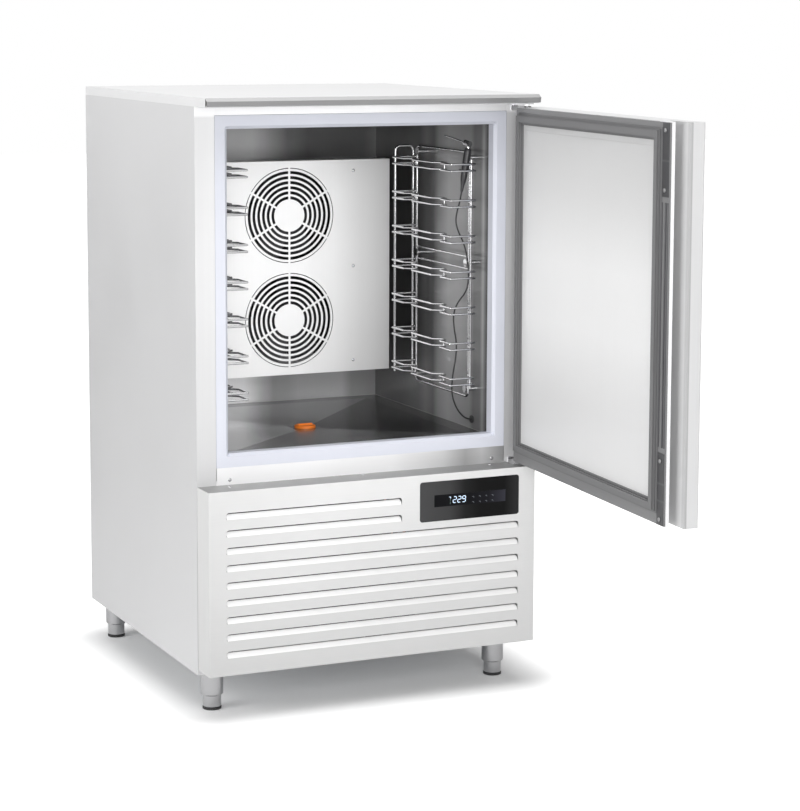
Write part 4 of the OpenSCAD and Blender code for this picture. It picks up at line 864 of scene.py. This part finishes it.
def makeGasket(s):
    (x0, x1), (z0, z1) = s["x"], s["z"]
    deselectAll()
    bpy.ops.mesh.primitive_plane_add(size=1)
    ring = bpy.context.object
    ring.scale = ((x1 - x0) * mm, (z1 - z0) * mm, 1)
    ring.rotation_euler = (math.radians(-90), 0, 0)
    ring.location = spot((x0 + x1) / 2, door["innerY"] + s["clear"], (z0 + z1) / 2)
    bpy.ops.object.transform_apply(location=True, rotation=True, scale=True)
    bpy.ops.object.mode_set(mode="EDIT")
    bpy.ops.mesh.select_mode(type="FACE")
    bpy.ops.mesh.select_all(action="SELECT")
    bpy.ops.mesh.inset(thickness=s["width"] * mm, use_even_offset=True)
    bpy.ops.mesh.delete(type="FACE")
    bpy.ops.mesh.select_all(action="SELECT")
    for rise, draw in s["profile"]:
        bpy.ops.mesh.extrude_region_move(TRANSFORM_OT_translate={"value": (0, rise * mm, 0)})
        if draw:
            bpy.ops.mesh.inset(thickness=abs(draw) * mm, use_boundary=True,
                               use_even_offset=True, use_outset=draw < 0)
    bpy.ops.mesh.select_all(action="SELECT")
    bpy.ops.mesh.normals_make_consistent(inside=False)
    bpy.ops.object.mode_set(mode="OBJECT")
    closedToOpen(ring)
    finishPiece(ring, "doorGasketBellows", "gasketRubber", "door")
    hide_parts("door_gasket")


makeGasket(gasket)
print("gasket made")


# the ribs of the channel between the two grip plates
channel = {"z": (672, 1161), "rib": 3.2, "middle": 9, "high": 2.6, "bevel": 0.8, "bevelSteps": 3}


def makeChannel(s):
    stripLeft, stripRight = door["stripX"]
    z0, z1 = s["z"]
    starts = (stripLeft, stripLeft + s["middle"], stripRight - s["rib"])
    for number, start in enumerate(starts, 1):
        deselectAll()
        bpy.ops.mesh.primitive_cube_add(size=1)
        rib = bpy.context.object
        rib.scale = (s["rib"] * mm, s["high"] * mm, (z1 - z0) * mm)
        rib.location = spot(start + s["rib"] / 2, door["innerY"] + s["high"] / 2, (z0 + z1) / 2)
        bpy.ops.object.transform_apply(location=True, rotation=True, scale=True)
        applyModifier(rib, "BEVEL", width=s["bevel"] * mm, segments=s["bevelSteps"])
        closedToOpen(rib)
        finishPiece(rib, "channelRib" + str(number), "channelPlastic", "door")


makeChannel(channel)
print("channel made")


# control display: places are x and z on the glass, with a turn in degrees for the marks
display = {
    "window": (141, 319, 433, 460), "film": 0.12, "raised": 0.25,
    "digits": "229", "digitX": (191.5, 203.0, 214.5), "digitZ": 446.6,
    "digitW": 7.4, "digitH": 13.5, "bar": 1.5, "barShare": 0.86, "slant": 0.12, "point": 0.49,
    "hook": {"size": (4.2, 1.1), "at": [(179.5, 453.5, 0), (181.3, 451.8, 90)]},
    "dots": {"size": (1.8, 1.2), "at": [(180.5, z, 0) for z in (448, 444.5, 441, 438)]},
    "keys": {"size": (4.4, 0.8),
             "at": [(x + dx, z + dz, turn) for x in (237.2, 253.8, 269.9, 285.7)
                    for z in (450.4, 438.4) for dx, dz, turn in ((0, 0, 0), (1.2, -1.6, 35))]},
}
segments = {"2": "abged", "9": "abcdfg"}
glassY = (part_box("control_glass")[0][1] - cabinetY) / mm


def makeBar(length, width, height, pointed):
    # a thin bar lying along x, facing the front; pointed bars have the ends of a lit segment
    deselectAll()
    bpy.ops.mesh.primitive_plane_add(size=1)
    bar = bpy.context.object
    bar.scale = (length * mm, width * mm, 1)
    bpy.ops.object.transform_apply(location=False, rotation=False, scale=True)
    bpy.ops.object.mode_set(mode="EDIT")
    bpy.ops.mesh.select_all(action="SELECT")
    if pointed:
        bpy.ops.mesh.bevel(offset=width * display["point"] * mm, segments=1, affect="VERTICES")
    bpy.ops.mesh.extrude_region_move(TRANSFORM_OT_translate={"value": (0, 0, height * mm)})
    bpy.ops.mesh.select_all(action="SELECT")
    bpy.ops.mesh.normals_make_consistent(inside=False)
    bpy.ops.object.mode_set(mode="OBJECT")
    bar.rotation_euler = (math.radians(90), 0, 0)
    bpy.ops.object.transform_apply(location=False, rotation=True, scale=False)
    return bar


def layBars(s, size, places, name, finish):
    # copies of one bar, joined to one piece on the window
    model = makeBar(*size, s["raised"], True)
    copies = []
    for x, z, turn in places:
        bar = copyOf(model)
        bar.location = spot(x, glassY - s["film"], z)
        bar.rotation_euler = (0, math.radians(turn), 0)
        copies.append(bar)
    deselectAll()
    for bar in copies:
        bar.select_set(True)
    bpy.context.view_layer.objects.active = copies[0]
    bpy.ops.object.join()
    bpy.data.objects.remove(model)
    finishPiece(copies[0], name, finish, "cabinet")


def makeDisplay(s):
    x0, x1, z0, z1 = s["window"]
    window = makeBar(x1 - x0, z1 - z0, s["film"], False)
    window.location = spot((x0 + x1) / 2, glassY, (z0 + z1) / 2)
    finishPiece(window, "displayWindow", "displayDark", "cabinet")

    halfW, halfH = s["digitW"] / 2, s["digitH"] / 2
    bars = {"a": (0, halfH, 0), "g": (0, 0, 0), "d": (0, -halfH, 0), "f": (-halfW, halfH / 2, 90),
            "b": (halfW, halfH / 2, 90), "e": (-halfW, -halfH / 2, 90),
            "c": (halfW, -halfH / 2, 90)}
    places = []
    for digit, x in zip(s["digits"], s["digitX"]):
        for letter in segments[digit]:
            dx, dz, turn = bars[letter]
            places.append((x + dx + dz * s["slant"], s["digitZ"] + dz, turn))
    layBars(s, (s["digitW"] * s["barShare"], s["bar"]), places, "displayDigits", "figureGlow")

    # small plain marks: a lit column left of the digits, faint touch keys right of them
    for key, name, finish in (("hook", "displayHook", "figureGlow"),
                              ("dots", "displayDots", "figureDim"),
                              ("keys", "touchKeys", "iconGrey")):
        layBars(s, s[key]["size"], s[key]["at"], name, finish)


makeDisplay(display)
print("display made")
